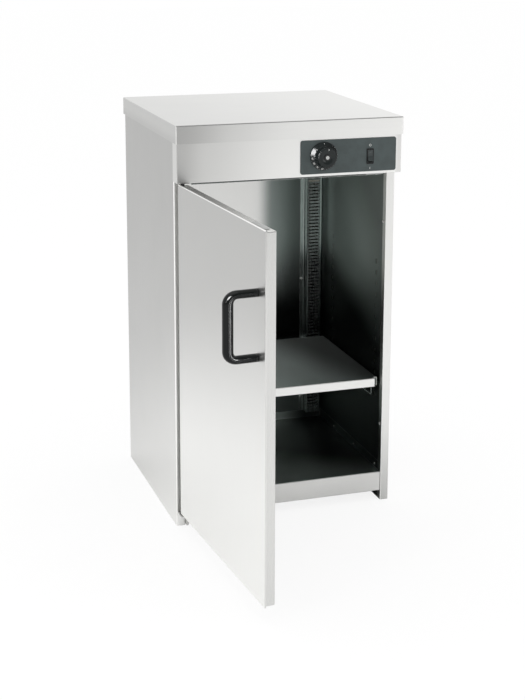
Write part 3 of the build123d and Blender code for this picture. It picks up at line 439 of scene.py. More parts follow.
@dataclass(frozen=True)
class MouldedFinish(Finish):
    """Moulded plastic, ceramic or lacquer: a fine texture, smears and rubbed edges.

    Rubbed is the tone of its worn edges. Sizes are in waves per metre, and depth and reach in metres.
    """

    tone: Colour
    rubbed: Colour
    roughness: float
    spread: float
    texture: float
    grain_size: float = 1400.0
    gloss: float = 0.5
    marks: float = 0.12
    mark_size: float = 40.0
    cloud_size: float = 55.0
    cloud_lift: float = 1.25
    wear_and_highlight: float = 0.6
    wear_reach: float = 0.0007
    depth: float = 0.00004

    def shade(self, wiring: Wiring, shader: Node, place: Socket) -> None:
        """A pebbled skin whose tone and roughness vary a little, and lighter edges.

        Args:
            wiring: the material's wiring.
            shader: its Principled shader.
            place: the Object coordinates.
        """
        cloud = wiring.noise(place, self.cloud_size, 3.0)
        wear_and_highlight = EDGE_WEAR_AND_HIGHLIGHT.place(wiring, Place=place, Amount=self.wear_and_highlight, Reach=self.wear_reach).outputs["Mask"]
        lighter = tuple(channel * self.cloud_lift for channel in self.tone)
        colour = wiring.blend(wiring.ramp(cloud, *NOISE_SPAN), self.tone, lighter)
        rough = wiring.ramp(cloud, *NOISE_SPAN, *around(self.roughness, self.spread))
        marks = MARKS.place(wiring, Place=place, Amount=self.marks, Size=self.mark_size).outputs["Dulling"]
        pebbles = wiring.noise(place, self.grain_size, 3.0, 0.6)
        wiring.feed(shader, {"Base Color": wiring.blend(wear_and_highlight, colour, self.rubbed),
                             "Roughness": wiring.maths("ADD", rough, marks),
                             "Normal": wiring.bump(pebbles, self.texture, self.depth),
                             "Specular IOR Level": self.gloss})


@dataclass(frozen=True)
class CapFinish(Finish):
    """A black cap with a small turned middle of bare metal."""

    middle: Point = (KNOB_X, 0.0, KNOB_Z)
    bright: float = 0.0034
    edge: float = 0.0004
    black: Colour = (0.004, 0.005, 0.005)
    metal: Colour = (0.55, 0.56, 0.55)
    roughness: Span = (0.2, 0.32)
    cloud_size: float = 900.0
    ring_waves: float = 16000.0
    ring_bump: float = 0.2
    ring_depth: float = 0.00001

    def shade(self, wiring: Wiring, shader: Node, place: Socket) -> None:
        """Metal inside a circle round the axis, black outside it, with turned rings in the height.

        Args:
            wiring: the material's wiring.
            shader: its Principled shader.
            place: the Object coordinates.
        """
        offset = wiring.vectors("SUBTRACT", place, self.middle)
        radius = wiring.vectors("LENGTH", wiring.vectors("MULTIPLY", offset, (1.0, 0.0, 1.0)))
        share = wiring.ramp(radius, *around(self.bright, self.edge), 1.0, 0.0)
        rings = wiring.maths("SINE", wiring.maths("MULTIPLY", radius, self.ring_waves))
        rough = wiring.ramp(wiring.noise(place, self.cloud_size, 3.0), *NOISE_SPAN, *self.roughness)
        wiring.feed(shader, {"Base Color": wiring.blend(share, self.black, self.metal), "Metallic": share,
                             "Roughness": rough,
                             "Normal": wiring.bump(rings, self.ring_bump, self.ring_depth)})


@dataclass(frozen=True)
class PrintFinish(Finish):
    """Screen-printed ink: matt, and thinner in places."""

    tone: Colour = (0.8, 0.8, 0.78)
    thinned: float = 0.8
    thin_span: Span = (0.3, 0.5)
    cloud_size: float = 2600.0
    roughness: float = 0.45

    def shade(self, wiring: Wiring, shader: Node, place: Socket) -> None:
        """Fine noise between the full tone and the thinned one.

        Args:
            wiring: the material's wiring.
            shader: its Principled shader.
            place: the Object coordinates.
        """
        full = wiring.ramp(wiring.noise(place, self.cloud_size, 2.0), *self.thin_span)
        colour = wiring.blend(full, tuple(channel * self.thinned for channel in self.tone), self.tone)
        wiring.feed(shader, {"Base Color": colour, "Roughness": self.roughness})


UP, FRONT, LEFT = (0.0, 0.0, 1.0), (0.0, -1.0, 0.0), (-1.0, 0.0, 0.0)
DOWNWARD, RIGHTWARD = (0.0, 0.0, -1.0), (1.0, 0.0, 0.0)
FRONT_CORNER, FRONT_FOLD, LEFT_FOLD = (-0.707, -0.707, 0.0), (0.0, -0.707, 0.707), (-0.707, 0.0, 0.707)


def steel(level: float) -> Colour:
    """An outer steel tone of one level, a little warm."""
    return (level, level, level * 0.98)


def shade(level: float) -> Colour:
    """An inner steel tone of one level, a little green: a painted reflection tint for the sheets inside the
    cabinet.
    """
    return (level * 0.93, level * 1.04, level)


class Coat(Enum):
    """The finishes of the cabinet. The bands of each sheet paint reflections, shade and highlights into its
    colour, and a later band lies over the earlier ones.
    """

    # On the outer sheets the bands paint reflections: lighter and darker faces, and highlights on folds and
    # corners.
    LID = SteelFinish("lid_steel", steel(0.64), way=GrainWay.ALONG_X, painted_light_bands=(
        PaintedLightBand(steel(0.79), RIGHTWARD, -0.30, 0.30, UP),
        PaintedLightBand(steel(0.48), facing=FRONT),
        PaintedLightBand(steel(0.68), RIGHTWARD, -0.222, -0.11, FRONT),
        PaintedLightBand(steel(0.86), RIGHTWARD, -0.16, 0.02, FRONT),
        PaintedLightBand(steel(0.55), facing=LEFT),
        PaintedLightBand(steel(0.49), DOWNWARD, -0.775, -0.757, LEFT),
        PaintedLightBand(steel(0.40), facing=FRONT_FOLD, sharpness=0.88),
        PaintedLightBand(steel(0.85), facing=FRONT_CORNER, sharpness=0.88),
    ))
    CASING = SteelFinish("casing_steel", steel(0.70), painted_light_bands=(
        PaintedLightBand(steel(0.44), facing=LEFT),
        PaintedLightBand(steel(0.90), (0.0, -0.5, -1.0), -0.40, 0.16, LEFT),
        PaintedLightBand(steel(0.79), RIGHTWARD, -0.05, 0.05, FRONT),
        PaintedLightBand(steel(0.58), DOWNWARD, -0.22, 0.02, FRONT),
        PaintedLightBand(steel(0.72), RIGHTWARD, -0.05, 0.05, LEFT),
        PaintedLightBand(steel(0.98), (4.0, 0.0, -1.0), 0.22, 0.40, LEFT),
        PaintedLightBand(steel(0.28), (1.0, 0.0, -1.0), -0.06, 0.08, LEFT),
        PaintedLightBand(steel(1.0), LEFT, 0.17, 0.19, FRONT),
        PaintedLightBand(steel(1.0), facing=FRONT_CORNER, sharpness=0.85),
    ))
    FASCIA = SteelFinish("fascia_steel", steel(0.66), 0.29, 0.015, GrainWay.ALONG_X, 0.005,
                         waves=0.04, painted_light_bands=(
        PaintedLightBand(steel(0.55), facing=FRONT),
        PaintedLightBand(steel(0.66), RIGHTWARD, -0.215, -0.165, FRONT),
        PaintedLightBand(steel(0.88), RIGHTWARD, -0.20, 0.01, FRONT),
        PaintedLightBand(steel(0.74), RIGHTWARD, 0.205, 0.218, FRONT),
    ))
    DOOR = SteelFinish("door_steel", steel(0.51), painted_light_bands=(
        PaintedLightBand(steel(0.92), (0.0, -0.25, -1.0), -0.445, -0.035, LEFT),
        PaintedLightBand(steel(0.60), facing=FRONT),
        PaintedLightBand(steel(0.70), DOWNWARD, -0.68, -0.58, FRONT),
        PaintedLightBand(steel(1.0), facing=LEFT_FOLD, sharpness=0.85),
    ))
    DOOR_INNER = SteelFinish("door_inner_steel", steel(0.66), 0.26, painted_light_bands=(
        PaintedLightBand(steel(0.47), facing=UP),
        PaintedLightBand(steel(0.92), FRONT, 0.24, 0.50, UP),
    ))
    # Inside the cabinet the bands paint shade and the reflections of the dark interior into the steel.
    BACK_WALL = SteelFinish("back_wall_steel", steel(0.66), 0.20, 0.03, painted_light_bands=(
        PaintedLightBand(shade(0.25), RIGHTWARD, 0.053, 0.091),
        PaintedLightBand(shade(0.12), RIGHTWARD, 0.10, 0.15),
        PaintedLightBand(shade(0.40), RIGHTWARD, 0.182, 0.188),
        PaintedLightBand(shade(0.025), DOWNWARD, -0.44, -0.30),
        PaintedLightBand(shade(0.42), (-0.3, 0.0, -1.0), -0.205, -0.165),
    ))
    SIDE_WALL = SteelFinish("side_wall_steel", shade(0.50), 0.38, 0.03, contrast=0.008, waves=0.0, painted_light_bands=(
        PaintedLightBand(shade(0.25), (0.0, -1.0, 1.0), 0.54, 0.74),
        PaintedLightBand(shade(0.05), (0.0, 0.35, -1.0), -0.45, -0.35),
    ))
    CEILING = SteelFinish("ceiling_steel", shade(0.50), way=GrainWay.ALONG_X)
    FLOOR_PAN = SteelFinish("floor_pan_steel", steel(0.80), way=GrainWay.ALONG_X, waves=0.0, painted_light_bands=(
        PaintedLightBand(steel(0.68), RIGHTWARD, 0.02, 0.20, FRONT),
        PaintedLightBand(shade(0.75), facing=UP),
        PaintedLightBand(shade(0.20), (0.6, 1.0, 0.0), -0.10, 0.04, UP),
        PaintedLightBand(shade(0.08), facing=LEFT),
        PaintedLightBand(shade(0.96), (0.0, 1.0, 0.0), 0.10, 0.14, FRONT),
        PaintedLightBand(shade(0.08), (1.0, 2.0, 0.0), 0.45, 0.52, FRONT),
    ))
    SHELF = SteelFinish("shelf_steel", steel(0.80), way=GrainWay.ALONG_X, waves=0.0, painted_light_bands=(
        PaintedLightBand(shade(0.95), facing=UP),
        PaintedLightBand(shade(0.22), (1.0, 0.25, 0.0), 0.04, 0.17, UP),
    ))
    # Edges lightened at full strength paint a highlight round the louvre slots; the bands paint the tower's
    # shade.
    TOWER = SteelFinish("tower_steel", shade(0.42), 0.26, wear_and_highlight=1.0, painted_light_bands=(
        PaintedLightBand(shade(0.26), facing=FRONT),
        PaintedLightBand(shade(0.16), UP, 0.55, 0.59, FRONT),
        PaintedLightBand(shade(0.11), LEFT, -0.171, -0.167, FRONT),
        PaintedLightBand(shade(0.50), RIGHTWARD, 0.192, 0.195, FRONT),
        PaintedLightBand(shade(0.42), (0.0, 1.0, 0.0), 0.160, 0.168, FRONT),
        PaintedLightBand(shade(0.12), DOWNWARD, -0.47, -0.41),
        PaintedLightBand(shade(0.30), DOWNWARD, -0.27, -0.25),
        PaintedLightBand(shade(0.95), facing=UP),
    ))
    BRACKET = SteelFinish("bracket_steel", steel(0.62), 0.35, way=GrainWay.EVEN)
    PLATING = SteelFinish("bright_plating", steel(0.74), 0.16, 0.06, GrainWay.EVEN, 0.04, 0.3, 0.05)
    # The dark base is painted shade, and the lighter top a painted highlight along the wire.
    WIRE = SteelFinish("wire_plating", shade(0.16), 0.24, 0.06, GrainWay.EVEN, 0.04, 0.3, 0.05, painted_light_bands=(
        PaintedLightBand(shade(0.85), facing=UP, sharpness=0.6),
    ))
    ZINC = SteelFinish("zinc_plating", (0.52, 0.53, 0.52), 0.42, 0.14, GrainWay.EVEN, 0.12)
    COPPER = SteelFinish("copper_tube", (0.62, 0.33, 0.20), 0.35, 0.12, GrainWay.EVEN, 0.15)
    ELEMENT = SteelFinish("heat_tinted_tube", (0.05, 0.048, 0.045), 0.5, 0.15, GrainWay.EVEN, 0.2)
    CONTROL = MouldedFinish("slate_control_film", (0.038, 0.052, 0.052), (0.10, 0.12, 0.12), 0.36, 0.06, 0.12)
    HANDLE = MouldedFinish("handle_black", (0.0008, 0.001, 0.001), (0.01, 0.01, 0.01), 0.12, 0.05, 0.05,
                           gloss=0.2)
    KNOB = MouldedFinish("dial_black", (0.003, 0.004, 0.004), (0.009, 0.01, 0.01), 0.15, 0.04, 0.08,
                         gloss=0.3, marks=0.02)
    SWITCH = MouldedFinish("switch_black", (0.004, 0.005, 0.005), (0.10, 0.11, 0.11), 0.4, 0.1, 0.5,
                           gloss=0.3)
    ROCKER = MouldedFinish("rocker_slate", (0.026, 0.034, 0.034), (0.16, 0.17, 0.17), 0.25, 0.08, 0.15)
    CAP = CapFinish("knob_cap_black")
    NYLON_WHITE = MouldedFinish("natural_nylon", (0.74, 0.72, 0.66), (0.8, 0.79, 0.75), 0.45, 0.1, 0.3)
    NYLON_BLACK = MouldedFinish("black_nylon", (0.02, 0.02, 0.022), (0.06, 0.06, 0.065), 0.5, 0.1, 0.5)
    CERAMIC = MouldedFinish("steatite", (0.72, 0.68, 0.60), (0.8, 0.77, 0.7), 0.35, 0.2, 0.5)
    FERRITE = MouldedFinish("ferrite", (0.035, 0.035, 0.038), (0.09, 0.09, 0.09), 0.6, 0.15, 0.8, 700.0)
    INK = PrintFinish("white_ink")


COAT_NODES: dict[Coat, tuple[str, ...]] = {
    Coat.LID: ("top_cover",),
    Coat.CASING: ("outer_casing",),
    Coat.FASCIA: ("fascia",),
    Coat.CONTROL: ("control_plate",),
    Coat.SIDE_WALL: ("left_liner", "right_liner"),
    Coat.BACK_WALL: ("rear_liner",),
    Coat.CEILING: ("ceiling_liner",),
    Coat.FLOOR_PAN: ("floor_pan",),
    Coat.PLATING: ("floor_rivets", "hinge_pins", "hinge_screws", "handle_screws", "fascia_screws",
                   "liner_screws", "tower_screws", "lid_screws", "thermostat_screws"),
    Coat.SHELF: ("shelf",),
    Coat.WIRE: ("left_shelf_support", "right_shelf_support"),
    Coat.TOWER: ("heater_tower_cover", "door_stop"),
    Coat.ELEMENT: ("heating_element",),
    Coat.CERAMIC: ("element_insulators", "element_brackets"),
    Coat.DOOR: ("door_outer_skin",),
    Coat.DOOR_INNER: ("door_inner_pan",),
    Coat.NYLON_BLACK: ("hinge_blocks", "cable_gland"),
    Coat.ZINC: ("top_hinge_plate", "strike_plate", "catch_poles", "thermostat_spindle",
                "thermostat_body", "bulb_clips"),
    Coat.BRACKET: ("bottom_hinge_bracket",),
    Coat.NYLON_WHITE: ("hinge_washer", "terminal_block"),
    Coat.HANDLE: ("door_handle",),
    Coat.FERRITE: ("catch_magnet",),
    Coat.KNOB: ("temperature_knob",),
    Coat.CAP: ("knob_cap",),
    Coat.COPPER: ("thermostat_bulb",),
    Coat.SWITCH: ("switch_housing",),
    Coat.ROCKER: ("switch_rocker",),
}


# ---- Surfaces ----
def grid_quads(index: np.ndarray) -> np.ndarray:
    """The quads between neighbouring rows and columns of a grid of vertex numbers."""
    return np.stack([index[:-1, :-1], index[:-1, 1:], index[1:, 1:], index[1:, :-1]], -1).reshape(-1, 4)


def new_mesh(name: str, points: np.ndarray, faces: list[list[int]]) -> bpy.types.Mesh:
    """Makes a mesh.

    Args:
        name: the mesh's name.
        points: its vertices, as an array of any shape whose last axis is X, Y and Z in metres.
        faces: the vertex numbers of each face.

    Returns:
        The mesh.
    """
    mesh = bpy.data.meshes.new(name)
    mesh.from_pydata(points.reshape(-1, 3).tolist(), [], faces)
    mesh.update()
    return mesh


def new_object(name: str, data: bpy.types.ID) -> bpy.types.Object:
    """Puts a mesh, a curve, a lamp or a camera into the scene.

    Args:
        name: the object's name.
        data: what it shows.

    Returns:
        The object, at the origin.
    """
    made = bpy.data.objects.new(name, data)
    bpy.context.scene.collection.objects.link(made)
    return made


def finish_piece(name: str, mesh: bpy.types.Mesh, coat: Coat,
                 body: str) -> bpy.types.Object:
    """Turns a mesh into a smooth-shaded piece that rides on a body.

    Args:
        name: the piece's name.
        mesh: its mesh, with its place in it.
        coat: its finish.
        body: the CAD body that it rides on.

    Returns:
        The piece.
    """
    mesh.shade_smooth()
    mesh.materials.append(coat.value.material())
    piece = new_object(name, mesh)
    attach(piece, body)
    return piece


def surface(name: str, points: np.ndarray, closed: bool, coat: Coat,
            body: str) -> bpy.types.Object:
    """Makes a piece from a grid of points: rows run along the shape and columns go round it.

    Args:
        name: the piece's name.
        points: an array of rows by columns by 3, in metres.
        closed: True where the last column joins the first.
        coat: its finish.
        body: the CAD body that it rides on.

    Returns:
        The piece. Its ends are closed with a fan when the columns are closed.
    """
    rows, columns = points.shape[:2]
    index = np.arange(rows * columns).reshape(rows, columns)
    ring = np.concatenate([index, index[:, :1]], axis=1) if closed else index
    faces = grid_quads(ring).tolist()
    vertices = points.reshape(-1, 3)
    if closed:
        vertices = np.concatenate([vertices, points[[0, -1]].mean(axis=1)])
        first, last = rows * columns, rows * columns + 1
        faces += np.stack([ring[0, 1:], ring[0, :-1], np.full(columns, first)], axis=-1).tolist()
        faces += np.stack([ring[-1, :-1], ring[-1, 1:], np.full(columns, last)], axis=-1).tolist()
    return finish_piece(name, new_mesh(name, vertices, faces), coat, body)


def round_angles(steps: int) -> np.ndarray:
    """Equal steps round a circle, in radians, without the last one that would repeat the first."""
    return np.linspace(0, 2 * np.pi, steps, endpoint=False)


@dataclass
class CabinetNodes:
    """The pieces that keep their CAD shape and only need a finish."""

    nodes: dict[Coat, tuple[str, ...]] = field(default_factory=lambda: dict(COAT_NODES))

    def dress(self) -> int:
        """Gives every CAD node its finish.

        Returns:
            How many nodes were dressed.
        """
        pairs = [(name, coat) for coat, names in self.nodes.items() for name in names]
        for name, coat in pairs:
            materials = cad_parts[name].data.materials
            materials.clear()
            materials.append(coat.value.material())
        return len(pairs)


@dataclass
class DoorPlace:
    """Where the open door stands: its pivot and how far it is turned."""

    pivot: tuple[float, float] = (-0.210, -0.2042)
    angle: float = math.radians(-86.0)

    def to_row(self, along: np.ndarray, out: np.ndarray, up: np.ndarray) -> np.ndarray:
        """Turns places on the closed door, measured from its pivot, to the row frame.

        Args:
            along: distance from the pivot towards the free edge.
            out: distance behind the pivot; the outer face is at a negative value.
            up: height above the floor.

        Returns:
            An array of points.
        """
        cosine, sine = math.cos(self.angle), math.sin(self.angle)
        x = self.pivot[0] + along * cosine - out * sine
        y = self.pivot[1] + along * sine + out * cosine
        return np.stack(np.broadcast_arrays(x, y, up), axis=-1)


@dataclass
class DoorHandle:
    """The black D handle: an oval bar bent twice, with a parting crease round it.

    Places are measured on the closed door: along it and behind it from the pivot, and up from the floor. The
    bar swells over swell_bends times the bend's radius, past each leg.
    """

    along: float = 0.390
    face: float = -0.0075
    projection: float = 0.051
    low: float = 0.4595
    high: float = 0.5695
    bend: float = 0.0155
    leg: float = 0.014
    grip: float = 0.0187
    swell_bends: float = 1.5
    crease: float = 0.00035
    crease_width: float = 0.004
    leg_rows: int = 9
    bend_rows: int = 15
    grip_rows: int = 25
    sides: int = 64

    def centre_line(self) -> tuple[np.ndarray, np.ndarray]:
        """The bar's middle line: straight out, a quarter turn, up the grip, a quarter turn and back.

        Returns:
            Points as (out, up) pairs, and the direction of the line at each.
        """
        outer = self.face - self.projection
        leg_end = outer + self.bend
        leg = np.linspace(self.face, leg_end, self.leg_rows)
        turn = np.linspace(0, math.pi / 2, self.bend_rows)
        bend = (leg_end - self.bend * np.sin(turn), self.low + self.bend * (1 - np.cos(turn)))
        up = np.linspace(self.low + self.bend, self.high - self.bend, self.grip_rows)[1:-1]
        start = np.stack([leg, np.full_like(leg, self.low)], -1)[:-1]
        half = np.concatenate([start, np.stack(bend, -1)])
        mirror = half[::-1] * (1, -1) + (0, self.low + self.high)
        line = np.concatenate([half, np.stack([np.full_like(up, outer), up], -1), mirror])
        way = np.gradient(line, axis=0)
        return line, way / np.linalg.norm(way, axis=1, keepdims=True)

    def thickness(self, line: np.ndarray) -> np.ndarray:
        """The bar's thickness: leg plus (grip - leg) times (3 s^2 - 2 s^3), where s grows from 0 at the leg's
        end to 1 where the swell ends.

        Args:
            line: the bar's middle line.

        Returns:
            The thickness at each point of the line.
        """
        run = np.concatenate([[0], np.cumsum(np.linalg.norm(np.diff(line, axis=0), axis=1))])
        past_leg = np.minimum(run, run[-1] - run) - (self.projection - self.bend)
        share = np.clip(past_leg / (self.swell_bends * self.bend), 0, 1)
        return self.leg + (self.grip - self.leg) * share * share * (3 - 2 * share)

    def build(self, place: DoorPlace) -> bpy.types.Object:
        """Carries an oval along the line: half the width times cosine across the door, and half the thickness
        times sine in the bend's plane, both pinched by a narrow crease where the mould parts.

        Args:
            place: where the door stands.

        Returns:
            The handle.
        """
        line, way = self.centre_line()
        angles = round_angles(self.sides)
        from_crease = (np.abs(np.cos(angles)) - 1) / self.crease_width
        pinch = 1 - self.crease / (self.grip / 2) * np.exp(-from_crease ** 2)
        across = self.grip / 2 * np.cos(angles) * pinch
        inplane = self.thickness(line)[:, None] / 2 * np.sin(angles) * pinch
        out = line[:, None, 0] - way[:, None, 1] * inplane
        up = line[:, None, 1] + way[:, None, 0] * inplane
        points = place.to_row(self.along + np.broadcast_to(across, out.shape), out, up)
        piece = surface("handle_bar", points, True, Coat.HANDLE, "door")
        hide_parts("door_handle")
        return piece


@dataclass
class Print:
    """Ink on a surface: the thickness and sink of a printed bar, and how far type stands off and spreads."""

    depth: float = 0.00009
    sink: float = 0.00003
    type_lift: float = 0.00004
    type_spread: float = 0.00006

    def number(self, name: str, text: str, size: float, place: Matrix) -> bpy.types.Object:
        """Raises a short number as a very thin print on the knob.

        Args:
            name: the piece's name.
            text: the digits.
            size: the height of the type, in metres.
            place: carries the flat text to its place.

        Returns:
            The printed piece.
        """
        curve = bpy.data.curves.new(name, "FONT")
        curve.body = text
        curve.size = size
        curve.align_x = curve.align_y = "CENTER"
        curve.extrude = self.type_lift
        curve.offset = self.type_spread
        holder = new_object(name + "_type", curve)
        bpy.context.view_layer.update()
        mesh = bpy.data.meshes.new_from_object(holder)
        bpy.data.objects.remove(holder)
        mesh.transform(place)
        return self.on_knob(name, mesh)

    def on_knob(self, name: str, mesh: bpy.types.Mesh) -> bpy.types.Object:
        """Makes a flat-shaded piece of ink on the knob.

        Args:
            name: the piece's name.
            mesh: the print's mesh.

        Returns:
            The printed piece.
        """
        piece = finish_piece(name, mesh, Coat.INK, "knob")
        mesh.shade_flat()
        return piece


@dataclass
class TemperatureKnob:
    """The dial knob: a conical skirt that carries the numbers, and a ribbed hub with a dished end.

    Distances are from the axis, or in front of the knob's back face. Angles are degrees from +X towards +Z.
    """

    x: float = KNOB_X
    z: float = KNOB_Z
    back: float = -0.2135
    radius: float = 0.027
    rim: float = 0.0026
    rim_edge: float = 0.0004
    skirt: float = 0.0066
    hub: float = 0.0202
    fillet: float = 0.0012
    taper: float = 0.0011
    height: float = 0.022
    ribs: int = 24
    rib_depth: float = 0.0006
    rib_roundness: float = 1.6
    rib_columns: int = 12
    numbers: tuple[str, ...] = ("30", "50", "70", "85")
    number_size: float = 0.0044
    number_ring: float = 0.0239
    first_number: float = 188.0
    number_step: float = 24.0
    first_tick: float = 176.0
    tick_step: float = 10.5
    ticks: int = 23
    ticks_per_long: int = 3
    tick_inset: float = 0.0006
    long_tick: float = 0.0009
    short_tick: float = 0.0005
    half_tick: float = 0.00016
    pointer: float = 80.0
    pointer_inset: float = 0.0028
    pointer_length: float = 0.0030
    half_pointer: float = 0.0004
    index_turn: float = math.degrees(0.2)
    index_ring: float = 0.0246
    index_length: float = 0.0010
    half_index: float = 0.0005
    ink: Print = field(default_factory=Print)

    @property
    def cone_foot(self) -> float:
        """Where the cone meets the hub's fillet."""
        return self.hub + self.fillet

    @property
    def cone_run(self) -> float:
        """How wide the cone is, from the fillet to the rim's rounded edge."""
        return self.radius - self.rim_edge - self.cone_foot

    def skirt_height(self, radius: np.ndarray) -> np.ndarray:
        """How far the cone stands off the plate: a straight line from the hub down to the rim."""
        return self.skirt + (self.rim - self.skirt) * (radius - self.cone_foot) / self.cone_run

    def profile(self) -> tuple[np.ndarray, np.ndarray, np.ndarray]:
        """The knob's outline from its back rim to its middle.

        Returns:
            Radii, distances in front of the back face, and how strongly the ribs cut each radius.
        """
        edge, fillet, end = self.rim_edge, self.fillet, self.hub - self.taper
        outline = np.array([
            # The rim, rounded at the back and the front.
            (self.radius - edge, 0.0, 0), (self.radius, edge, 0), (self.radius, self.rim - edge, 0),
            (self.radius - edge / 4, self.rim - edge / 4, 0), (self.radius - edge, self.rim, 0),
            # The fillet between the cone and the hub, where the ribs begin.
            (self.cone_foot, self.skirt, 0), (self.hub + fillet / 2, self.skirt + fillet / 4, 0.2),
            (self.hub + fillet / 12, self.skirt + fillet / 1.2, 0.8),
            (self.hub, self.skirt + fillet * 1.5, 1),
            # The tapered hub and its rounded end.
            (self.hub - self.taper * 0.5, self.height * 0.58, 1),
            (self.hub - self.taper * 0.9, self.height - 0.0025, 1),
            (end - 0.0003, self.height - 0.0010, 0.5), (end - 0.0013, self.height - 0.0001, 0),
            (end - 0.0026, self.height, 0),
            # The dish that the cap sits in.
            (0.0095, self.height - 0.0001, 0), (0.0080, self.height - 0.0006, 0),
            (0.0068, self.height - 0.0010, 0)])
        return outline[:, 0], outline[:, 1], outline[:, 2]

    def build(self) -> bpy.types.Object:
        """Turns the outline round the axis; on the hub the radius drops by a rounded scallop between ribs.

        Returns:
            The knob.
        """
        radii, out, cut = self.profile()
        angles = round_angles(self.ribs * self.rib_columns)
        scallop = 1 - np.abs(np.cos(self.ribs * angles / 2)) ** self.rib_roundness
        ring = radii[:, None] - self.rib_depth * 2 * cut[:, None] * scallop
        y = np.broadcast_to((self.back - out)[:, None], ring.shape)
        points = np.stack([self.x + ring * np.cos(angles), y, self.z + ring * np.sin(angles)], -1)
        piece = surface("knob_turning", points, True, Coat.KNOB, "knob")
        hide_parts("temperature_knob")
        return piece

    def number_place(self, angle: float) -> Matrix:
        """The place of a number that lies on the cone, its top pointing away from the axis.

        Args:
            angle: its place round the dial.

        Returns:
            The matrix that carries flat type in X and Y there.
        """
        turn = math.radians(angle)
        outward, facing = Vector((math.cos(turn), 0, math.sin(turn))), Vector((0, -1, 0))
        drop = (self.rim - self.skirt) / self.cone_run
        slope = (outward + facing * drop).normalized()
        normal = (facing - outward * drop).normalized()
        height = self.skirt_height(self.number_ring)
        spot = Vector((self.x, self.back, self.z)) + outward * self.number_ring + facing * height
        axes = Matrix((slope.cross(normal), slope, normal)).transposed().to_4x4()
        return Matrix.Translation(spot + normal * self.ink.type_lift) @ axes

    def print_scale(self) -> list[bpy.types.Object]:
        """Prints plain numbers and ticks round the skirt, and a pointer on the hub's end with its index.

        Returns:
            The printed pieces.
        """
        made = []
        for index, number in enumerate(self.numbers):
            place = self.number_place(self.first_number + index * self.number_step)
            made.append(self.ink.number(f"dial_number_{index}", number, self.number_size, place))
        order = np.arange(self.ticks)
        lengths = np.where(order % self.ticks_per_long == 0, self.long_tick, self.short_tick)
        made.append(self.bars("dial_ticks", self.first_tick + order * self.tick_step,
                              self.radius - self.tick_inset, lengths, self.half_tick, self.skirt_height))
        made.append(self.bars("dial_pointer", np.array([self.pointer]),
                              self.hub - self.taper - self.pointer_inset, np.array([self.pointer_length]),
                              self.half_pointer, lambda radius: np.full_like(radius, self.height)))
        made.append(self.bars("dial_index", np.array([self.pointer + self.index_turn]), self.index_ring,
                              np.array([self.index_length]), self.half_index, self.skirt_height))
        return made

    def bars(self, name: str, angles: np.ndarray, outer: float, lengths: np.ndarray, half: float,
             height: Callable[[np.ndarray], np.ndarray]) -> bpy.types.Object:
        """Small radial bars, each a thin box that lies on the knob.

        Args:
            name: the piece's name.
            angles: their places round the dial.
            outer: where their outer ends lie.
            lengths: how long each is.
            half: half of their width.
            height: how far the knob stands off the plate at a radius.

        Returns:
            One piece that holds them all.
        """
        corner = np.array([(s, r, y) for y in (0, 1) for s, r in ((-1, 0), (1, 0), (1, 1), (-1, 1))], float)
        radius = outer - corner[:, 1] * lengths[:, None]
        side = corner[:, 0] * half
        cosine, sine = np.cos(np.radians(angles))[:, None], np.sin(np.radians(angles))[:, None]
        x = self.x + radius * cosine - side * sine
        z = self.z + radius * sine + side * cosine
        y = self.back - height(radius) + self.ink.sink - corner[:, 2] * self.ink.depth
        box = np.array([(0, 1, 2, 3), (7, 6, 5, 4), (0, 4, 5, 1), (1, 5, 6, 2), (2, 6, 7, 3), (3, 7, 4, 0)])
        faces = (box + len(corner) * np.arange(len(angles))[:, None, None]).reshape(-1, 4)
        return self.ink.on_knob(name, new_mesh(name, np.stack([x, y, z], -1), faces.tolist()))


@dataclass
class SwitchMarks:
    """The printed ring and bar above and below the rocker switch."""

    x: float = 0.1577
    face: float = -0.2132
    top: float = 0.7372
    bottom: float = 0.6930
    half_size: float = 0.0022
    half_bar: float = 0.00032
    hollow: float = 0.74
    bar_middle: float = 0.3
    bar_power: float = 0.35
    lift: float = 0.00006
    sink: float = 0.00002
    sides: int = 40

    def build(self) -> list[bpy.types.Object]:
        """A flat ring for off, above the switch, and an upright bar for on, below it.

        Returns:
            The two marks.
        """
        hollow = self.hollow
        ring = self.rings(self.top, self.half_size, 1.0, [hollow, hollow, 1, 1, hollow], [0, 1, 1, 0, 0])
        seam = np.concatenate([ring, ring[:, :1]], axis=1)
        bar = self.rings(self.bottom, self.half_bar, self.bar_power, [self.bar_middle, 1, 1], [1, 1, 0])
        return [surface("mark_off", seam, False, Coat.INK, "cabinet"),
                surface("mark_on", bar, True, Coat.INK, "cabinet")]

    def rings(self, height: float, half_width: float, power: float, shares: list[float],
              lifts: list[float]) -> np.ndarray:
        """Rings of points on the plate: x = half width times share times cosine to a power that keeps its
        sign, and z with sine in the same way. A power of 1 gives an ellipse, and less gives a square.

        Args:
            height: the height of the mark's middle.
            half_width: half of its width.
            power: the power of cosine and sine.
            shares: each ring's size as a share of the outer one.
            lifts: how far each ring stands off the plate, as a share of the lift.

        Returns:
            An array of rings by points by 3.
        """
        angles = round_angles(self.sides)
        cosine, sine = (np.sign(wave) * np.abs(wave) ** power for wave in (np.cos(angles), np.sin(angles)))
        size, lift = np.array(shares)[:, None], np.array(lifts)[:, None]
        x = self.x + half_width * size * cosine
        z = height + self.half_size * size * sine
        y = np.broadcast_to(self.face + self.sink - self.lift * lift, x.shape)
        return np.stack([x, y, z], -1)


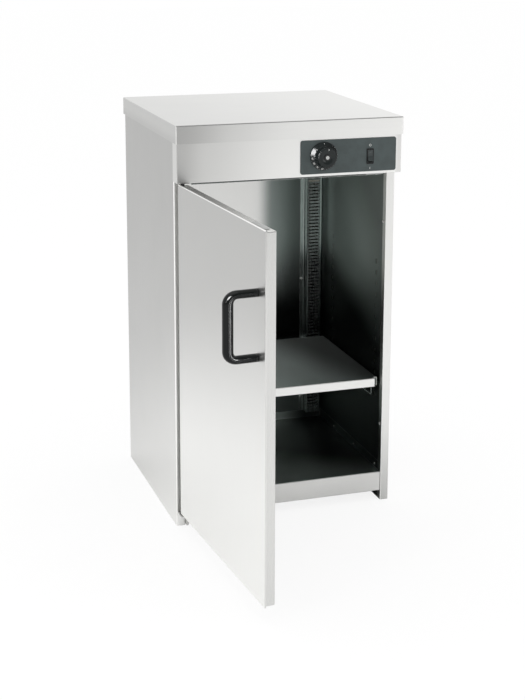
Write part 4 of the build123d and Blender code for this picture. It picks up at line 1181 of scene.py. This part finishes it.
# ---- Stage ----
@dataclass(frozen=True)
class Lamp:
    """A soft lamp: where it hangs, what it faces, its width and height, and its power in watts.

    Where it names a piece, it lights that piece alone, and nothing else shades it.
    """

    name: str
    place: Point
    aim: Point
    size: Span
    power: float
    only: str = ""

    def hang(self) -> None:
        """Puts the lamp into the scene."""
        data = bpy.data.lights.new(self.name, "AREA")
        data.shape = "RECTANGLE"
        data.size, data.size_y = self.size
        data.energy = self.power
        lamp = new_object(self.name, data)
        lamp.location = self.place
        lamp.rotation_euler = (Vector(self.aim) - Vector(self.place)).to_track_quat("-Z", "Y").to_euler()
        lamp.visible_camera = False
        if self.only:
            lit = bpy.data.collections.new(self.name + "_lights")
            lit.objects.link(bpy.data.objects[self.only])
            lamp.light_linking.receiver_collection = lit
            lamp.light_linking.blocker_collection = lit


@dataclass
class Studio:
    """A plain pale floor, a pale surround that is darker behind the viewer, and soft lamps.

    Tones run from 0 to 1. The floor's fade is in metres from the middle, and the surround's is the Y of the
    direction. The camera sees paper_share of the floor's shadows.
    """

    floor_half: float = 14.0
    floor_lines: int = 9
    floor_near: float = 0.97
    floor_far: float = 0.88
    floor_fade: Span = (0.5, 3.5)
    behind_viewer: float = 0.30
    behind_fade: Span = (-0.45, 0.15)
    paper_share: float = 0.15
    lamps: tuple[Lamp, ...] = (
        Lamp("overhead_soft", (-0.4, -0.6, 3.2), (0, 0, 0.4), (2.2, 2.2), 10.0),
        Lamp("left_soft", (-3.0, -2.1, 1.3), (0, -0.2, 0.6), (0.7, 0.7), 14.0),
        Lamp("right_soft", (2.6, -3.0, 1.2), (0.1, 0, 0.5), (1.4, 1.4), 14.0),
        Lamp("handle_corner_glint", (-1.60, -2.12, 2.10), (-0.25, -0.59, 0.55), (1.2, 1.2), 270.0,
             "handle_bar"),
        Lamp("handle_grip_glint", (0.49, -1.52, 0.62), (-0.25, -0.59, 0.5), (0.2, 1.2), 45.0, "handle_bar"),
        Lamp("shelf_sheen", (0.25, 0.80, 0.60), (0.0, -0.15, 0.256), (0.4, 0.3), 0.34, "shelf"),
        Lamp("wire_glint", (0.2, 0.85, 0.70), (0.2, -0.10, 0.24), (0.3, 0.3), 0.5, "right_shelf_support"),
        Lamp("knob_glint", (-1.39, -1.50, 1.17), (0.06, -0.22, 0.72), (1.4, 1.0), 150.0, "knob_turning"),
    )

    def build(self) -> None:
        """Sets up the floor, the surround and the lamps."""
        self.floor()
        self.world()
        for lamp in self.lamps:
            lamp.hang()

    def floor(self) -> None:
        """A wide flat floor, white to the camera with a faint shadow, and a little greyer far away."""
        side = np.linspace(-self.floor_half, self.floor_half, self.floor_lines)
        x, y = np.meshgrid(side, side)
        faces = grid_quads(np.arange(x.size).reshape(x.shape)).tolist()
        mesh = new_mesh("studio_floor", np.stack([x, y, np.zeros_like(x)], -1), faces)
        material = bpy.data.materials.new("studio_floor_paper")
        wiring = Wiring.afresh(material)
        camera = wiring.add("ShaderNodeLightPath").outputs["Is Camera Ray"]
        distance = wiring.vectors("LENGTH", wiring.add("ShaderNodeTexCoord").outputs["Object"])
        tone = wiring.ramp(distance, *self.floor_fade, self.floor_near, self.floor_far)
        tone = wiring.maths("MAXIMUM", tone, wiring.maths("MULTIPLY", camera, self.floor_near))
        paper = wiring.add("ShaderNodeBsdfDiffuse", {"Color": self.grey(wiring, tone)})
        light = wiring.add("ShaderNodeEmission", {"Color": (1.0, 1.0, 1.0), "Strength": 1.0})
        mixed = wiring.add("ShaderNodeMixShader", {0: wiring.maths("MULTIPLY", camera, 1 - self.paper_share),
                                                   1: paper.outputs[0], 2: light.outputs[0]})
        wiring.add("ShaderNodeOutputMaterial", {"Surface": mixed.outputs[0]})
        mesh.materials.append(material)
        new_object("studio_floor", mesh)

    def world(self) -> None:
        """White all round, except that what mirrors the side behind the viewer finds it darker."""
        world = bpy.data.worlds.new("studio_surround")
        bpy.context.scene.world = world
        wiring = Wiring.afresh(world)
        direction = wiring.add("ShaderNodeTexCoord").outputs["Generated"]
        depth = wiring.add("ShaderNodeSeparateXYZ", {0: direction}).outputs["Y"]
        behind = wiring.ramp(depth, *self.behind_fade, self.behind_viewer, 1.0)
        glossy = wiring.add("ShaderNodeLightPath").outputs["Is Glossy Ray"]
        tone = wiring.maths("MAXIMUM", behind, wiring.maths("SUBTRACT", 1.0, glossy))
        background = wiring.add("ShaderNodeBackground", {"Color": self.grey(wiring, tone), "Strength": 1.0})
        wiring.add("ShaderNodeOutputWorld", {"Surface": background.outputs[0]})

    def grey(self, wiring: Wiring, tone: Socket) -> Socket:
        """A grey of one tone."""
        return wiring.add("ShaderNodeCombineColor", {0: tone, 1: tone, 2: tone}).outputs[0]


@dataclass
class ViewPoint:
    """The camera: its place, how far it looks down, turns and rolls in radians, its lens and its shift."""

    place: Point = (-0.909020, -2.837072, 1.188395)
    down: float = 0.21113877
    turn: float = 0.33296025
    roll: float = 0.00692560
    lens: float = 77.13507
    sensor: float = 36.0
    shift: Span = (-0.0404200, -0.18)
    clip: Span = (0.05, 60.0)

    def build(self) -> None:
        """Makes the camera: it looks along (sin turn cos down, cos turn cos down, -sin down), and its right
        and up are turned about that line by the roll."""
        data = bpy.data.cameras.new("view")
        data.lens = self.lens
        data.sensor_width = self.sensor
        data.shift_x, data.shift_y = self.shift
        data.clip_start, data.clip_end = self.clip
        level = math.cos(self.down)
        ahead = Vector((math.sin(self.turn) * level, math.cos(self.turn) * level, -math.sin(self.down)))
        right = Vector((math.cos(self.turn), -math.sin(self.turn), 0.0))
        up = right.cross(ahead)
        cosine, sine = math.cos(self.roll), math.sin(self.roll)
        across, above = right * cosine + up * sine, up * cosine - right * sine
        camera = new_object("view", data)
        axes = Matrix((across, above, -ahead)).transposed().to_4x4()
        camera.matrix_world = Matrix.Translation(self.place) @ axes
        bpy.context.scene.camera = camera


def main() -> None:
    """Sets the camera, dresses the cabinet, adds its moulded and printed pieces, and lights them."""
    logging.basicConfig(level=logging.INFO, format="%(name)s: %(message)s")
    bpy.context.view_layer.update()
    bpy.context.scene.view_settings.view_transform = "Standard"
    ViewPoint().build()
    log.info("dressed %d CAD nodes", CabinetNodes().dress())
    handle = DoorHandle().build(DoorPlace())
    dial = TemperatureKnob()
    for piece in [handle, dial.build(), *dial.print_scale(), *SwitchMarks().build()]:
        log.info("made %s", piece.name)
    Studio().build()


if __name__ == "__main__":
    main()
